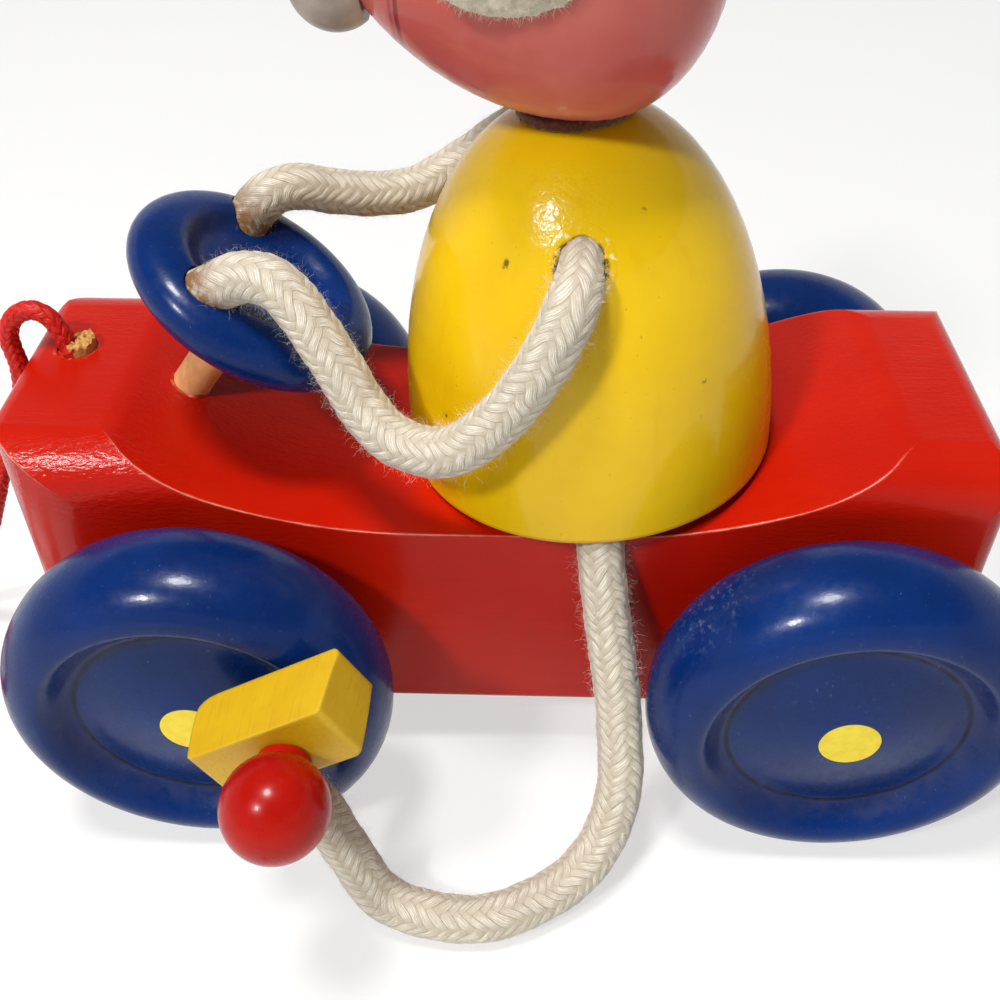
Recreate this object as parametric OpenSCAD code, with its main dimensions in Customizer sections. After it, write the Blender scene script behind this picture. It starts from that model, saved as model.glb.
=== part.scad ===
// Wooden pull toy: a round driver on a car, with rope limbs that pedal as the car rolls.
// Millimetres. X forward, Y to the left, Z up. The origin lies on the floor, midway along the car.

/* [Car body] */
// Width of the wooden block
body_w = 66; // [58:1:70]
// Height of the block from its underside to the hood
body_h = 68; // [62:0.5:76]
// Gap from the floor to the underside
body_clear = 16.5; // [12:0.5:20]
// Front axle to the nose of the block
nose_overhang = 42; // [39:0.5:60]
// Rear axle to the tail of the block
tail_overhang = 29.5; // [20:0.5:36]
// Radius of the two long top edges
edge_r = 11; // [4:0.5:14]
// Radius of the end edges and rear upright corners
corner_r = 4; // [2:0.5:6]
// Radius of the front upright corners
front_corner_r = 18.5; // [6:0.5:22]

/* [Seat] */
// Depth of the seat hollow below the hood
seat_depth = 17.5; // [12:0.5:20]
// Length of the flat floor of the hollow
seat_flat = 36; // [28:1:44]
// Middle of the flat floor, forward of the origin
seat_x = 2; // [-2:0.5:6]
// Radius of the curves at both ends of the hollow
seat_r = 110; // [96:1:130]
// Radius of the ridges where the hollow meets the hood
ridge_r = 10; // [4:1:16]

/* [Wheels] */
// Distance between the two axles
wheelbase = 129.4; // [120:0.2:140]
// Distance between the mid planes of a left and a right wheel
track = 100; // [98:1:108]
// Diameter of a wheel
wheel_d = 78; // [72:1:84]
// Width of a wheel over its rim
wheel_w = 24.8; // [22:0.2:26]
// Radius of the sunk disc in the wheel face
dish_r = 23.5; // [20:0.5:26]
// Width of the slope from the sunk disc to the top of the rim
dish_slope = 6.5; // [4:0.5:7]
// Depth of the sunk disc below the rim
dish_depth = 5.2; // [4:0.2:6.4]
// Rise of the disc towards the axle
hub_rise = 3.3; // [1:0.1:3.6]
// Diameter of both axles
axle_d = 12; // [9:0.5:14]
// Radial running clearance of an axle in the body
axle_clear = 0.08; // [0.02:0.01:0.1]

/* [Pedals] */
// Distance from the front axle to the crank pin
crank_r = 28.4; // [26.4:0.2:29]
// Crank angle from straight ahead, over the top, to the rear
crank_angle = 146.2; // [140:0.2:150]
// Angle of the right crank behind the left one
crank_split = 180; // [170:1:190]
// Diameter of the crank pin
pin_d = 6.5; // [5:0.1:7]
// Radial play of the crank pin in the shoe
pin_play = 0.5; // [0.3:0.05:0.7]
// Depth of the crank pin in the wheel
pin_seat = 16; // [10:0.5:18]
// Depth of the crank pin in the ball, from its neck
ball_seat = 13; // [8:0.5:15]
// Diameter of the pedal ball
ball_d = 19; // [17:0.5:20.5]
// Diameter of the short neck of the ball
ball_neck_d = 9.5; // [8.5:0.1:11]
// Gap from the wheel to the shoe
wheel_gap = 1.9; // [0.5:0.1:3]
// Gap from the shoe to the ball
shoe_gap = 0.4; // [0.3:0.1:1]

/* [Shoes] */
// Length of the sole
shoe_len = 32.6; // [30:0.2:36]
// Thickness of the shoe along the axle
shoe_w = 13.8; // [12.8:0.2:16]
// Height of the shoe from sole to ankle
shoe_h = 13.2; // [12.4:0.2:16]
// Heel to the pin
shoe_heel = 14.9; // [12:0.1:16]
// Sole to the pin
shoe_sole = 7.7; // [6.6:0.1:8.4]
// Set back of the outer heel corner
heel_taper = 2.1; // [0:0.1:3]
// Set back of the outer toe corner
toe_taper = 1.7; // [0:0.1:2.5]
// Slope of the left sole, toe down
left_pitch = 30.2; // [28:0.2:33]
// Slope of the right sole, toe down
right_pitch = 70; // [67:0.5:73]
// Radius of the inner toe corner
toe_r = 4.5; // [2:0.5:6]
// Radius of the other corners of the sole
sole_r = 1.4; // [0.6:0.1:2]
// Radius of the heel edge by the ankle
heel_r = 4; // [1:0.5:5]

/* [Driver] */
// Radius of the torso at its base
torso_r = 38.2; // [37:0.1:40]
// Height that the torso would have with its dome complete
dome_h = 72; // [68:0.5:78]
// Radius of the flat on top of the torso
neck_flat_r = 9.6; // [7:0.2:12]
// Roundness of the dome
dome_round = 2.15; // [2:0.05:2.5]
// Middle of the torso, forward of the origin
torso_x = -15.7; // [-18:0.1:-12]
// Diameter of the dowel under the torso
torso_dowel_d = 10; // [6:0.5:14]
// Depth of that dowel in the torso and in the body
torso_dowel_seat = 25; // [18:0.5:30]
// Widest radius of the head
head_r = 26.5; // [24:0.5:29]
// Head length ahead of its widest ring
head_front = 42.6; // [38:0.2:48]
// Head length behind its widest ring
head_back = 22.4; // [18:0.2:30]
// Sharpness of the snout
snout_taper = 0.77; // [0.6:0.01:0.95]
// Widest ring to the flat where the nose sits
snout_len = 38.5; // [35:0.5:41]
// Widest ring of the head, behind the neck
head_back_set = 4; // [0:0.5:8]
// Depth of the flat under the head
head_flat = 2.4; // [1.4:0.1:3.4]
// Lift of the snout, from square to the torso
head_lift = 2.9; // [-2:0.1:6]
// Droop of the nose below the line of the snout
nose_droop = 4.6; // [0:0.1:6]
// Diameter of the nose ball
nose_d = 16.5; // [14:0.5:20]
// Radius of the felt washer at the neck
washer_r = 10.8; // [9:0.2:13]
// Thickness of the felt washer
washer_h = 1.8; // [1:0.2:3]
// Diameter of the dowel in the neck
neck_dowel_d = 8; // [5:0.5:9]
// Depth of that dowel in the torso and in the head
neck_dowel_seat = 18; // [10:0.5:22]
// Diameter of the dowel in the nose
nose_dowel_d = 5; // [3:0.5:6]
// Depth of that dowel in the head and in the nose
nose_dowel_seat = 7; // [4:0.5:8]
// Diameter of an eye bead
eye_d = 5.6; // [4:0.2:8]

/* [Ears] */
// Radius of an ear
ear_r = 16.4; // [12:0.2:20]
// Thickness of an ear at its middle
ear_t = 6.5; // [4:0.5:9]
// Middle of an ear from the middle plane of the head
ear_y = 27.5; // [26:0.5:29]
// Middle of an ear, ahead of the widest ring of the head
ear_x = 12; // [4:0.5:16]
// Middle of an ear, above the widest ring of the head
ear_z = 15; // [10:0.5:18]
// Outward lean of an ear
ear_lean = 8; // [0:1:16]

/* [Steering] */
// Diameter of the steering wheel
steer_d = 52; // [48:1:56]
// Thickness of the steering wheel over its rim
steer_w = 12; // [10.5:0.5:14]
// Radius of its sunk middle
steer_dish_r = 12.5; // [9:0.5:14]
// Width of the slope to the top of its rim
steer_slope = 5.5; // [3:0.5:7]
// Depth of its sunk middle
steer_dish = 3; // [1:0.2:3.4]
// Height of the middle of the steering wheel above the hood
steer_rise = 18; // [16:0.5:22]
// Middle of the steering wheel, behind the front axle
steer_back = 10.4; // [8:0.2:13]
// Backward tilt of the steering wheel
steer_tilt = 33.7; // [28:0.1:40]
// Lean of the column, from square to the steering wheel
column_lean = 2.2; // [0:0.1:4]
// Diameter of the steering column
column_d = 8; // [6:0.5:10]
// Length of the column above the body, with its end in the steering wheel
column_rise = 30; // [26:0.5:36]
// Depth of the column in the body
column_seat = 24; // [15:1:30]

/* [Rope and cord] */
// Diameter of the limb rope
rope_d = 9.4; // [8:0.1:9.8]
// Clearance round a rope in its hole
rope_clear = 0.3; // [0.2:0.05:0.5]
// Diameter of the pull cord
cord_d = 4.2; // [3.6:0.1:4.6]
// Diameter of the hole for the cord and its peg
cord_hole_d = 8.4; // [8:0.1:10]
// Depth of the cord hole
cord_hole_depth = 15; // [10:0.5:20]
// Height of the peg above the hood
peg_rise = 1.6; // [0.5:0.1:4]
// Turns in each of the two layers of the coil
coil_turns = 1.5; // [1.5:1:3.5]
// Radius of the innermost turn of the coil
coil_in_r = 20; // [17:0.5:24]
// Distance from turn to turn in the coil
coil_pitch = 5; // [4.8:0.1:6]
// Diameter of the knot at the end of the cord
knot_d = 9; // [7:0.5:11]

/* [Fits] */
// Glue space round dowels and pegs
glue_gap = 0.05; // [0.02:0.01:0.1]
// Space left at the end of a dowel
end_gap = 0.2; // [0.1:0.05:0.4]

/* [Hidden] */
$fn = 96;

// Main lines of the car
wheel_r = wheel_d / 2;
rear_reach = max(wheel_r, tail_overhang);
front_reach = max(wheel_r, nose_overhang);
front_x = (wheelbase + rear_reach - front_reach) / 2;
rear_x = front_x - wheelbase;
nose_x = front_x + nose_overhang;
tail_x = rear_x - tail_overhang;
body_len = nose_x - tail_x;
hood_z = body_clear + body_h;
seat_z = hood_z - seat_depth;

// Wheel and pedal lines, out from the middle plane
wheel_y = track / 2;
hub_half = wheel_w / 2 - dish_depth + hub_rise;
rim_face = wheel_y + wheel_w / 2;
shoe_in = rim_face + wheel_gap;
shoe_out = shoe_in + shoe_w;
neck_end = ball_d / 2 + 0.3;
ball_y = shoe_out + shoe_gap + neck_end;
left_pin = [front_x + crank_r * cos(crank_angle), 0, wheel_r + crank_r * sin(crank_angle)];
right_pin = [front_x + crank_r * cos(crank_angle - crank_split), 0,
  wheel_r + crank_r * sin(crank_angle - crank_split)];
pin_in = rim_face - pin_seat;
pin_out = ball_y - neck_end + ball_seat;

// The torso rests its front rim on the flat of the seat and its rear rim on the curve
function seat_at(x) = let (d = max(0, abs(x - seat_x) - seat_flat / 2))
  seat_z + seat_r - sqrt(seat_r * seat_r - d * d);
torso_lean = asin((seat_at(torso_x - torso_r) - seat_at(torso_x + torso_r)) / (2 * torso_r));
torso_z = seat_at(torso_x + torso_r) + torso_r * sin(torso_lean) + 0.15;
torso_h = dome_h * pow(1 - pow(neck_flat_r / torso_r, dome_round), 1 / dome_round);
head_z = torso_h + washer_h + head_r - head_flat;
nose_reach = snout_len + nose_d * 0.27;

// The steering column meets the hollow below the wheel
steer_x = front_x - steer_back;
steer_z = hood_z + steer_rise;
steer_half = steer_w / 2;
column_top = steer_half - steer_dish - 1.5;
column_len = column_rise + column_seat;

// Routes, each point chosen by hand
leg_route = [[-15, 25.5, 83.5], [-16.5, 31.5, 71], [-18, 38.5, 57.5], [-20.5, 45.5, 44],
  [-22, 52, 33.5], [-22.5, 59, 23], [-19.5, 66, 12.5], [-11, 73.5, 6.5], [1.5, 79.5, 5.2],
  [13.5, 80.5, 5.4], [25.8, 77.2, 7.8], [32.6, 73, 18], [37, 71.2, 29], [41, 71.2, 37],
  [44.6, 71.2, 43.4], [47.8, 71.2, 48.95]];
// The right leg is written as if it hung on the left, and is mirrored when it is drawn
right_leg_route = [[-15, 25.5, 83.5], [-16.5, 31.5, 71], [-18, 38.5, 57.5], [-19, 46, 43.5],
  [-17, 54, 30.5], [-11, 62, 18.5], [-0.5, 69.5, 9.3], [12.5, 76, 5.4], [26.5, 80, 5.2],
  [41, 80.5, 5.2], [54.5, 77.5, 5.3], [66, 73, 6], [75, 71.4, 8.2], [83.3, 71.2, 11.3],
  [89.4, 71.2, 13.5]];
// An arm moves out with the side of the torso, at the points that lie beside it
drawn_torso_r = 38.2;
function beside(p, n, way) = [for (i = [0:len(p) - 1])
  i > 0 && i < n ? p[i] + [0, way * (torso_r - drawn_torso_r), 0] : p[i]];
left_arm_route = beside([[-10.8, 18, 124.2], [-10.4, 26.6, 123.6], [-9, 34.2, 121.4], [-6.4, 37, 115.4],
  [-2.7, 38, 108.6], [3.5, 38, 99], [12.5, 37, 91.5], [21.5, 34, 91], [28, 30, 95.5],
  [33.5, 26, 103.5], [39, 22, 111], [44.2, 19, 115], [50.2, 17, 115.2], [55.2, 15.8, 112.6],
  [58.9, 14.8, 110.3]], 8, 1);
right_arm_route = beside([[-12.4, -18, 124.2], [-12, -26.6, 124.6], [-8.5, -34.4, 125.2], [2, -36.6, 121],
  [12, -33.8, 114.8], [22, -30, 110.4], [31, -27, 110], [39, -24, 112], [45.2, -21, 114.4],
  [50.2, -18.8, 114.4], [54, -17.4, 112.2], [57.4, -16.4, 107.8]], 6, -1);
cord_route = [[96.2, -5, 72], [96.2, -5, 79], [96.4, -5, 84.6], [97.4, -5.2, 88.4], [99.2, -5.6, 91.6],
  [102.2, -5.9, 93], [105.6, -6, 92], [108, -6, 89.6], [109.2, -6, 86.6], [109.2, -5.8, 83.4],
  [108.8, -5.4, 79.5], [109.4, -4.8, 73.5], [111.8, -3.6, 66.5], [115.2, -2.2, 59.8], [118.6, -1, 52.8],
  [122.6, 0, 43.2], [127.6, 0, 32.2], [133.5, -1.5, 21.5], [139.5, -3.5, 12.5], [146, -5.5, 6.3],
  [152, -7, 3.2], [157, -7.5, 2.3], [161.5, -7.5, 2.3]];
// The cord sits at the front of its hole, and the peg fills the rest
cord_hole_x = cord_route[0][0] + cord_d / 2 + 0.5 - cord_hole_d / 2;
peg_d = cord_hole_d - cord_d - 0.8;
peg_x = cord_hole_x - cord_hole_d / 2 + 0.15 + peg_d / 2;
coil_mid = [166, 20];
coil_lead = 4.5;
floor_lift = 2.3;

// Helper lists for swept tubes
function unit(v) = v / norm(v);
function bend(a, b, c, d, t) = 0.5 * (2 * b + (c - a) * t + (2 * a - 5 * b + 4 * c - d) * t * t
  + (3 * b - a - 3 * c + d) * t * t * t);
function at(p, i) = i < 0 ? 2 * p[0] - p[1] : i < len(p) ? p[i] : 2 * p[i - 1] - p[i - 2];
function smooth(p, k) = concat([for (i = [0:len(p) - 2]) for (j = [0:k - 1])
  bend(at(p, i - 1), p[i], p[i + 1], at(p, i + 2), j / k)], [p[len(p) - 1]]);
function headings(p) = [for (i = [0:len(p) - 1])
  unit(p[min(i + 1, len(p) - 1)] - p[max(i - 1, 0)])];
function carried(t, i, n) = let (m = unit(n - (n * t[i]) * t[i]))
  i == len(t) - 1 ? [m] : concat([m], carried(t, i + 1, m));

// One unbroken tube along the points, with triangle faces
module tube(p, d, sides) {
  t = headings(p);
  n = carried(t, 0, [0.3, 0.9, 0.31]);
  last = len(p) - 1;
  pts = [for (i = [0:last]) for (k = [0:sides - 1]) p[i] + d / 2 * (cos(360 * k / sides) * n[i]
    + sin(360 * k / sides) * cross(t[i], n[i]))];
  walls = [for (i = [0:last - 1]) for (k = [0:sides - 1]) for (h = [0, 1]) let (m = (k + 1) % sides)
    h == 0 ? [i * sides + k, (i + 1) * sides + k, (i + 1) * sides + m]
    : [i * sides + k, (i + 1) * sides + m, i * sides + m]];
  start = [for (k = [1:sides - 2]) [0, k, k + 1]];
  end = [for (k = [1:sides - 2]) [last * sides, last * sides + k + 1, last * sides + k]];
  polyhedron(pts, concat(start, walls, end));
}

// A straight bore from one point through another, and on by the reach
module bore(a, b, d, reach) {
  v = b - a;
  translate(a) rotate([0, acos(v[2] / norm(v)), atan2(v[1], v[0])]) cylinder(d = d, h = norm(v) + reach);
}

// The coil winds in on the floor, climbs in half a turn and winds out on top
coil_steps = 24;
coil_half = coil_turns * coil_steps;
coil_last = 2 * coil_half + coil_steps / 2;
function coil_r_at(i) = i <= coil_half ? coil_in_r + coil_pitch * (coil_half - i) / coil_steps
  : i >= coil_half + 12 ? coil_in_r + coil_pitch * (i - coil_half - 12) / coil_steps
  : coil_in_r - coil_pitch / 3 * sin(180 * (i - coil_half) / 12);
function coil_z_at(i) = floor_lift + coil_pitch * (i <= coil_half ? 0 : i >= coil_half + 12 ? 1
  : (1 - cos(180 * (i - coil_half) / 12)) / 2);
function coil_point(i) = [coil_mid[0] + coil_r_at(i) * cos(360 * i / coil_steps - 90),
  coil_mid[1] + coil_r_at(i) * sin(360 * i / coil_steps - 90), coil_z_at(i)];
coil_shift = [0, -7.5 - coil_point(0)[1], 0];
coil_loops = [for (i = [0:coil_last]) coil_point(i) + coil_shift];
coil_tail = unit(coil_loops[coil_last] - coil_loops[coil_last - 1]);
coil_path = concat([coil_loops[0] - [coil_lead, 0, 0]], coil_loops,
  [coil_loops[coil_last] + coil_lead * coil_tail]);
knot_at = coil_loops[coil_last] + (coil_lead + knot_d / 2 - 1) * coil_tail;
coil_gap = min([for (i = [0:len(coil_path) - 1]) for (j = [i + 10:1:len(coil_path) - 1])
  norm(coil_path[i] - coil_path[j])]) - cord_d;
echo(least_gap_in_the_coil_mm = coil_gap);

// Half outline of a turned wheel, from the hub over the rim to the tread
function wheel_half(R, hw, dr, slope, depth, rise, hole) = concat(
  [[hole, hw - depth + rise]],
  [for (i = [0:9]) [dr + slope * i / 9, hw - depth * (1 + cos(20 * i)) / 2]],
  [for (i = [1:10]) [dr + slope + (R - dr - slope) * sin(9 * i), hw * cos(9 * i)]]);
function both_faces(h) = concat(h, [for (i = [len(h) - 2:-1:0]) [h[i][0], -h[i][1]]]);

module turned_wheel() {
  rotate([-90, 0, 0]) rotate_extrude()
    polygon(both_faces(wheel_half(wheel_r, wheel_w / 2, dish_r, dish_slope, dish_depth, hub_rise,
      axle_d / 2 + glue_gap)));
}

// A rectangle with its own radius on each corner: near left, near right, far right, far left
module corner_cut(r, turn) {
  rotate(turn) difference() {
    translate([-1, -1]) square(r + 1);
    translate([r, r]) circle(r = r);
  }
}
module rounded(x0, y0, x1, y1, r) {
  difference() {
    translate([x0, y0]) square([x1 - x0, y1 - y0]);
    translate([x0, y0]) corner_cut(r[0], 0);
    translate([x1, y0]) corner_cut(r[1], 90);
    translate([x1, y1]) corner_cut(r[2], 180);
    translate([x0, y1]) corner_cut(r[3], 270);
  }
}

// Places for the pieces that share a frame
module on_torso() {
  translate([torso_x, 0, torso_z]) rotate([0, torso_lean, 0]) children();
}
module on_head() {
  on_torso() translate([-head_back_set, 0, head_z]) rotate([0, 90 - head_lift, 0]) children();
}
module on_nose() {
  on_torso() translate([-head_back_set, 0, head_z]) rotate([0, 90 - head_lift + nose_droop, 0]) children();
}
module on_steer() {
  translate([steer_x, 0, steer_z]) rotate([0, -steer_tilt, 0]) children();
}
module on_column() {
  translate([steer_x, 0, steer_z]) rotate([0, -steer_tilt - column_lean, 0]) children();
}
module left_and_right() {
  children();
  mirror([0, 1, 0]) children();
}

// Solid block with its rounded edges
module block() {
  intersection() {
    translate([tail_x, 0, 0]) rotate([90, 0, 90]) linear_extrude(body_len)
      rounded(-body_w / 2, body_clear, body_w / 2, hood_z, [1.5, 1.5, edge_r, edge_r]);
    translate([0, body_w / 2, 0]) rotate([90, 0, 0]) linear_extrude(body_w)
      rounded(tail_x, body_clear, nose_x, hood_z, [1.5, 1.5, corner_r, corner_r]);
    translate([0, 0, body_clear]) linear_extrude(body_h)
      rounded(tail_x, -body_w / 2, nose_x, body_w / 2, [corner_r, front_corner_r, front_corner_r, corner_r]);
  }
}

// Rounds a ridge of the hollow, at its front or its rear
module ridge(way) {
  x = seat_x + way * seat_flat / 2;
  up = seat_r - seat_depth + ridge_r;
  reach = sqrt(pow(seat_r + ridge_r, 2) - up * up);
  share = seat_r / (seat_r + ridge_r);
  low = [x + way * share * reach, seat_z + seat_r - share * up];
  translate([0, body_w, 0]) rotate([90, 0, 0]) linear_extrude(2 * body_w) difference() {
    polygon([low, [low[0], hood_z + 1], [x + way * reach, hood_z + 1], [x + way * reach, hood_z]]);
    translate([x + way * reach, hood_z - ridge_r]) circle(r = ridge_r);
  }
}

// Everything cut from the block across its seat
module hollow() {
  x0 = seat_x - seat_flat / 2;
  x1 = seat_x + seat_flat / 2;
  translate([x0, -body_w, seat_z]) cube([seat_flat, 2 * body_w, body_h]);
  intersection() {
    translate([x0, body_w, seat_z + seat_r]) rotate([90, 0, 0])
      cylinder(r = seat_r, h = 2 * body_w, $fn = 240);
    translate([x0 - seat_r, -body_w, seat_z]) cube([seat_r + 1, 2 * body_w, body_h]);
  }
  intersection() {
    translate([x1, body_w, seat_z + seat_r]) rotate([90, 0, 0])
      cylinder(r = seat_r, h = 2 * body_w, $fn = 240);
    translate([x1 - 1, -body_w, seat_z]) cube([seat_r + 1, 2 * body_w, body_h]);
  }
}

module car_body() {
  color([0.75, 0.07, 0.04]) difference() {
    block();
    hollow();
    ridge(1);
    ridge(-1);
    for (x = [front_x, rear_x])
      translate([x, body_w, wheel_r]) rotate([90, 0, 0])
        cylinder(r = axle_d / 2 + axle_clear, h = 2 * body_w);
    on_torso() translate([0, 0, -torso_dowel_seat])
      cylinder(d = torso_dowel_d + 2 * glue_gap, h = 2 * torso_dowel_seat);
    on_column() translate([0, 0, column_top - column_len])
      cylinder(d = column_d + 2 * glue_gap, h = column_len);
    translate([cord_hole_x, cord_route[0][1], hood_z - cord_hole_depth])
      cylinder(d = cord_hole_d, h = cord_hole_depth + 10);
    left_and_right() bore(leg_route[0], leg_route[2], rope_d + 2 * rope_clear, 1);
  }
}

module axle(x) {
  color([0.86, 0.7, 0.25]) translate([x, wheel_y + hub_half, wheel_r]) rotate([90, 0, 0])
    cylinder(d = axle_d, h = 2 * (wheel_y + hub_half));
}
module front_axle() {
  axle(front_x);
}
module rear_axle() {
  axle(rear_x);
}

// A front wheel is bored for its crank pin
module crank_wheel(pin) {
  color([0.03, 0.16, 0.45]) difference() {
    translate([front_x, wheel_y, wheel_r]) turned_wheel();
    translate([pin[0], rim_face + 5, pin[2]]) rotate([90, 0, 0])
      cylinder(d = pin_d + 2 * glue_gap, h = pin_seat + 5);
  }
}
module plain_wheel() {
  color([0.03, 0.16, 0.45]) translate([rear_x, wheel_y, wheel_r]) turned_wheel();
}
module front_left_wheel() {
  crank_wheel(left_pin);
}
module front_right_wheel() {
  mirror([0, 1, 0]) crank_wheel(right_pin);
}
module rear_left_wheel() {
  plain_wheel();
}
module rear_right_wheel() {
  mirror([0, 1, 0]) plain_wheel();
}

module crank_pin(pin) {
  color([0.75, 0.1, 0.05]) translate([pin[0], pin_out - 0.3, pin[2]]) rotate([90, 0, 0])
    cylinder(d = pin_d, h = pin_out - pin_in - 0.6);
}
module left_crank_pin() {
  crank_pin(left_pin);
}
module right_crank_pin() {
  mirror([0, 1, 0]) crank_pin(right_pin);
}

module pedal_ball(pin) {
  color([0.8, 0.08, 0.04]) difference() {
    translate([pin[0], ball_y, pin[2]]) rotate([-90, 0, 0]) union() {
      sphere(d = ball_d);
      translate([0, 0, -neck_end]) cylinder(d = ball_neck_d, h = neck_end);
    }
    translate([pin[0], pin_out, pin[2]]) rotate([90, 0, 0])
      cylinder(d = pin_d + 2 * glue_gap, h = ball_seat + 5);
  }
}
module left_pedal_ball() {
  pedal_ball(left_pin);
}
module right_pedal_ball() {
  mirror([0, 1, 0]) pedal_ball(right_pin);
}

// Points that round the corner p between a and b
function eased(a, p, b, r) = let (u = unit(a - p), v = unit(b - p), t = r / tan(acos(u * v) / 2))
  [for (i = [0:5]) let (s = i / 5) pow(1 - s, 2) * (p + t * u) + 2 * s * (1 - s) * p + s * s * (p + t * v)];
sole = [[-shoe_heel, shoe_in], [shoe_len - shoe_heel, shoe_in],
  [shoe_len - shoe_heel - toe_taper, shoe_out], [heel_taper - shoe_heel, shoe_out]];

// A shoe turns on its pin, and its rope goes in at the ankle
module shoe(pin, pitch, route) {
  n = len(route) - 1;
  color([0.92, 0.7, 0.05]) difference() {
    translate(pin) rotate([0, pitch, 0]) intersection() {
      translate([0, shoe_out, 0]) rotate([90, 0, 0]) linear_extrude(shoe_w)
        rounded(-shoe_heel, shoe_sole - shoe_h, shoe_len - shoe_heel, shoe_sole, [heel_r, 1.5, 1.2, 1.2]);
      translate([0, 0, shoe_sole - shoe_h]) linear_extrude(shoe_h)
        polygon(concat(eased(sole[3], sole[0], sole[1], sole_r), eased(sole[0], sole[1], sole[2], toe_r),
          eased(sole[1], sole[2], sole[3], sole_r), eased(sole[2], sole[3], sole[0], sole_r)));
    }
    translate([pin[0], shoe_out + 5, pin[2]]) rotate([90, 0, 0])
      cylinder(d = pin_d + 2 * pin_play, h = shoe_w + 10);
    bore(route[n] + 0.3 * unit(route[n] - route[n - 1]), route[n - 1], rope_d + 2 * rope_clear, 9);
  }
}
module left_shoe() {
  shoe(left_pin, left_pitch, leg_route);
}
module right_shoe() {
  mirror([0, 1, 0]) shoe(right_pin, right_pitch, right_leg_route);
}

module leg_rope(route) {
  color([0.86, 0.83, 0.76]) tube(smooth(route, 2), rope_d, 10);
}
module left_leg_rope() {
  leg_rope(leg_route);
}
module right_leg_rope() {
  mirror([0, 1, 0]) leg_rope(right_leg_route);
}
module left_arm_rope() {
  color([0.86, 0.83, 0.76]) tube(smooth(left_arm_route, 2), rope_d, 10);
}
module right_arm_rope() {
  color([0.86, 0.83, 0.76]) tube(smooth(right_arm_route, 2), rope_d, 10);
}

// Where an arm ends, the rope goes into a bore of its own
module hand_bore(r) {
  n = len(r) - 1;
  bore(r[n] + 0.3 * unit(r[n] - r[n - 1]), r[n - 1], rope_d + 2 * rope_clear, 12);
}
module shoulder_bore(r) {
  bore(r[0] + 0.3 * unit(r[0] - r[1]), r[1], rope_d + 2 * rope_clear, 12);
}

module steering_wheel() {
  color([0.03, 0.16, 0.45]) difference() {
    on_steer() rotate_extrude()
      polygon(both_faces(wheel_half(steer_d / 2, steer_half, steer_dish_r, steer_slope, steer_dish, 0.4, 0)));
    on_column() translate([0, 0, -steer_w]) cylinder(d = column_d + 2 * glue_gap, h = steer_w + column_top);
    hand_bore(left_arm_route);
    hand_bore(right_arm_route);
  }
}

module steering_column() {
  color([0.8, 0.58, 0.36]) on_column() translate([0, 0, column_top - column_len + end_gap])
    cylinder(d = column_d, h = column_len - 2 * end_gap);
}

module torso() {
  color([0.95, 0.74, 0.06]) difference() {
    on_torso() rotate_extrude() polygon(concat([[0, 0]], [for (i = [0:18]) let (z = torso_h * sin(5 * i))
      [torso_r * pow(1 - pow(z / dome_h, dome_round), 1 / dome_round), z]], [[0, torso_h]]));
    on_torso() translate([0, 0, -1]) cylinder(d = torso_dowel_d + 2 * glue_gap, h = torso_dowel_seat + 1);
    on_torso() translate([0, 0, torso_h - neck_dowel_seat])
      cylinder(d = neck_dowel_d + 2 * glue_gap, h = neck_dowel_seat + 1);
    shoulder_bore(left_arm_route);
    shoulder_bore(right_arm_route);
    left_and_right() bore(leg_route[0] + [0, -0.1, 0.3], leg_route[1], rope_d + 2 * rope_clear, 12);
  }
}

module torso_dowel() {
  color([0.82, 0.66, 0.45]) on_torso() translate([0, 0, end_gap - torso_dowel_seat])
    cylinder(d = torso_dowel_d, h = 2 * (torso_dowel_seat - end_gap));
}

module neck_washer() {
  color([0.3, 0.2, 0.12]) on_torso() translate([0, 0, torso_h]) difference() {
    cylinder(r = washer_r, h = washer_h);
    translate([0, 0, -1]) cylinder(d = neck_dowel_d + 2 * glue_gap, h = washer_h + 2);
  }
}

module neck_dowel() {
  color([0.82, 0.66, 0.45]) on_torso() translate([0, 0, torso_h - neck_dowel_seat + end_gap])
    cylinder(d = neck_dowel_d, h = washer_h + 2 * (neck_dowel_seat - end_gap));
}

// Egg shape about the line from the back of the head to the nose
module egg() {
  on_head() rotate_extrude() polygon(concat(
    [for (i = [0:12]) [head_r * sin(7.5 * i), -head_back * cos(7.5 * i)]],
    [for (i = [1:16]) let (a = head_front * sin(90 * i / 16))
      [head_r * pow(1 - pow(a / head_front, 2), snout_taper), a]]));
}

// An eye sits on the egg, ahead of the widest ring and up to one side
eye_a = head_front * 0.5;
eye_r_at = head_r * pow(1 - 0.25, snout_taper);
module at_left_eye() {
  on_head() translate([-eye_r_at * cos(38), eye_r_at * sin(38), eye_a]) children();
}

module head() {
  color([0.78, 0.42, 0.4]) difference() {
    egg();
    on_torso() translate([0, 0, torso_h + washer_h - head_r]) cylinder(r = 2 * head_r, h = head_r);
    on_torso() translate([0, 0, torso_h])
      cylinder(d = neck_dowel_d + 2 * glue_gap, h = washer_h + neck_dowel_seat);
    on_nose() translate([0, 0, snout_len]) cylinder(r = head_r, h = head_front);
    on_nose() translate([0, 0, snout_len - nose_dowel_seat])
      cylinder(d = nose_dowel_d + 2 * glue_gap, h = nose_dowel_seat + 1);
    left_and_right() at_left_eye() sphere(d = eye_d + 2 * glue_gap, $fn = 48);
  }
}

module nose() {
  color([0.55, 0.52, 0.5]) on_nose() difference() {
    translate([0, 0, nose_reach]) sphere(d = nose_d);
    translate([0, 0, snout_len - nose_d]) cylinder(r = nose_d, h = nose_d);
    translate([0, 0, snout_len - 1]) cylinder(d = nose_dowel_d + 2 * glue_gap, h = nose_dowel_seat + 1);
  }
}

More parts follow.
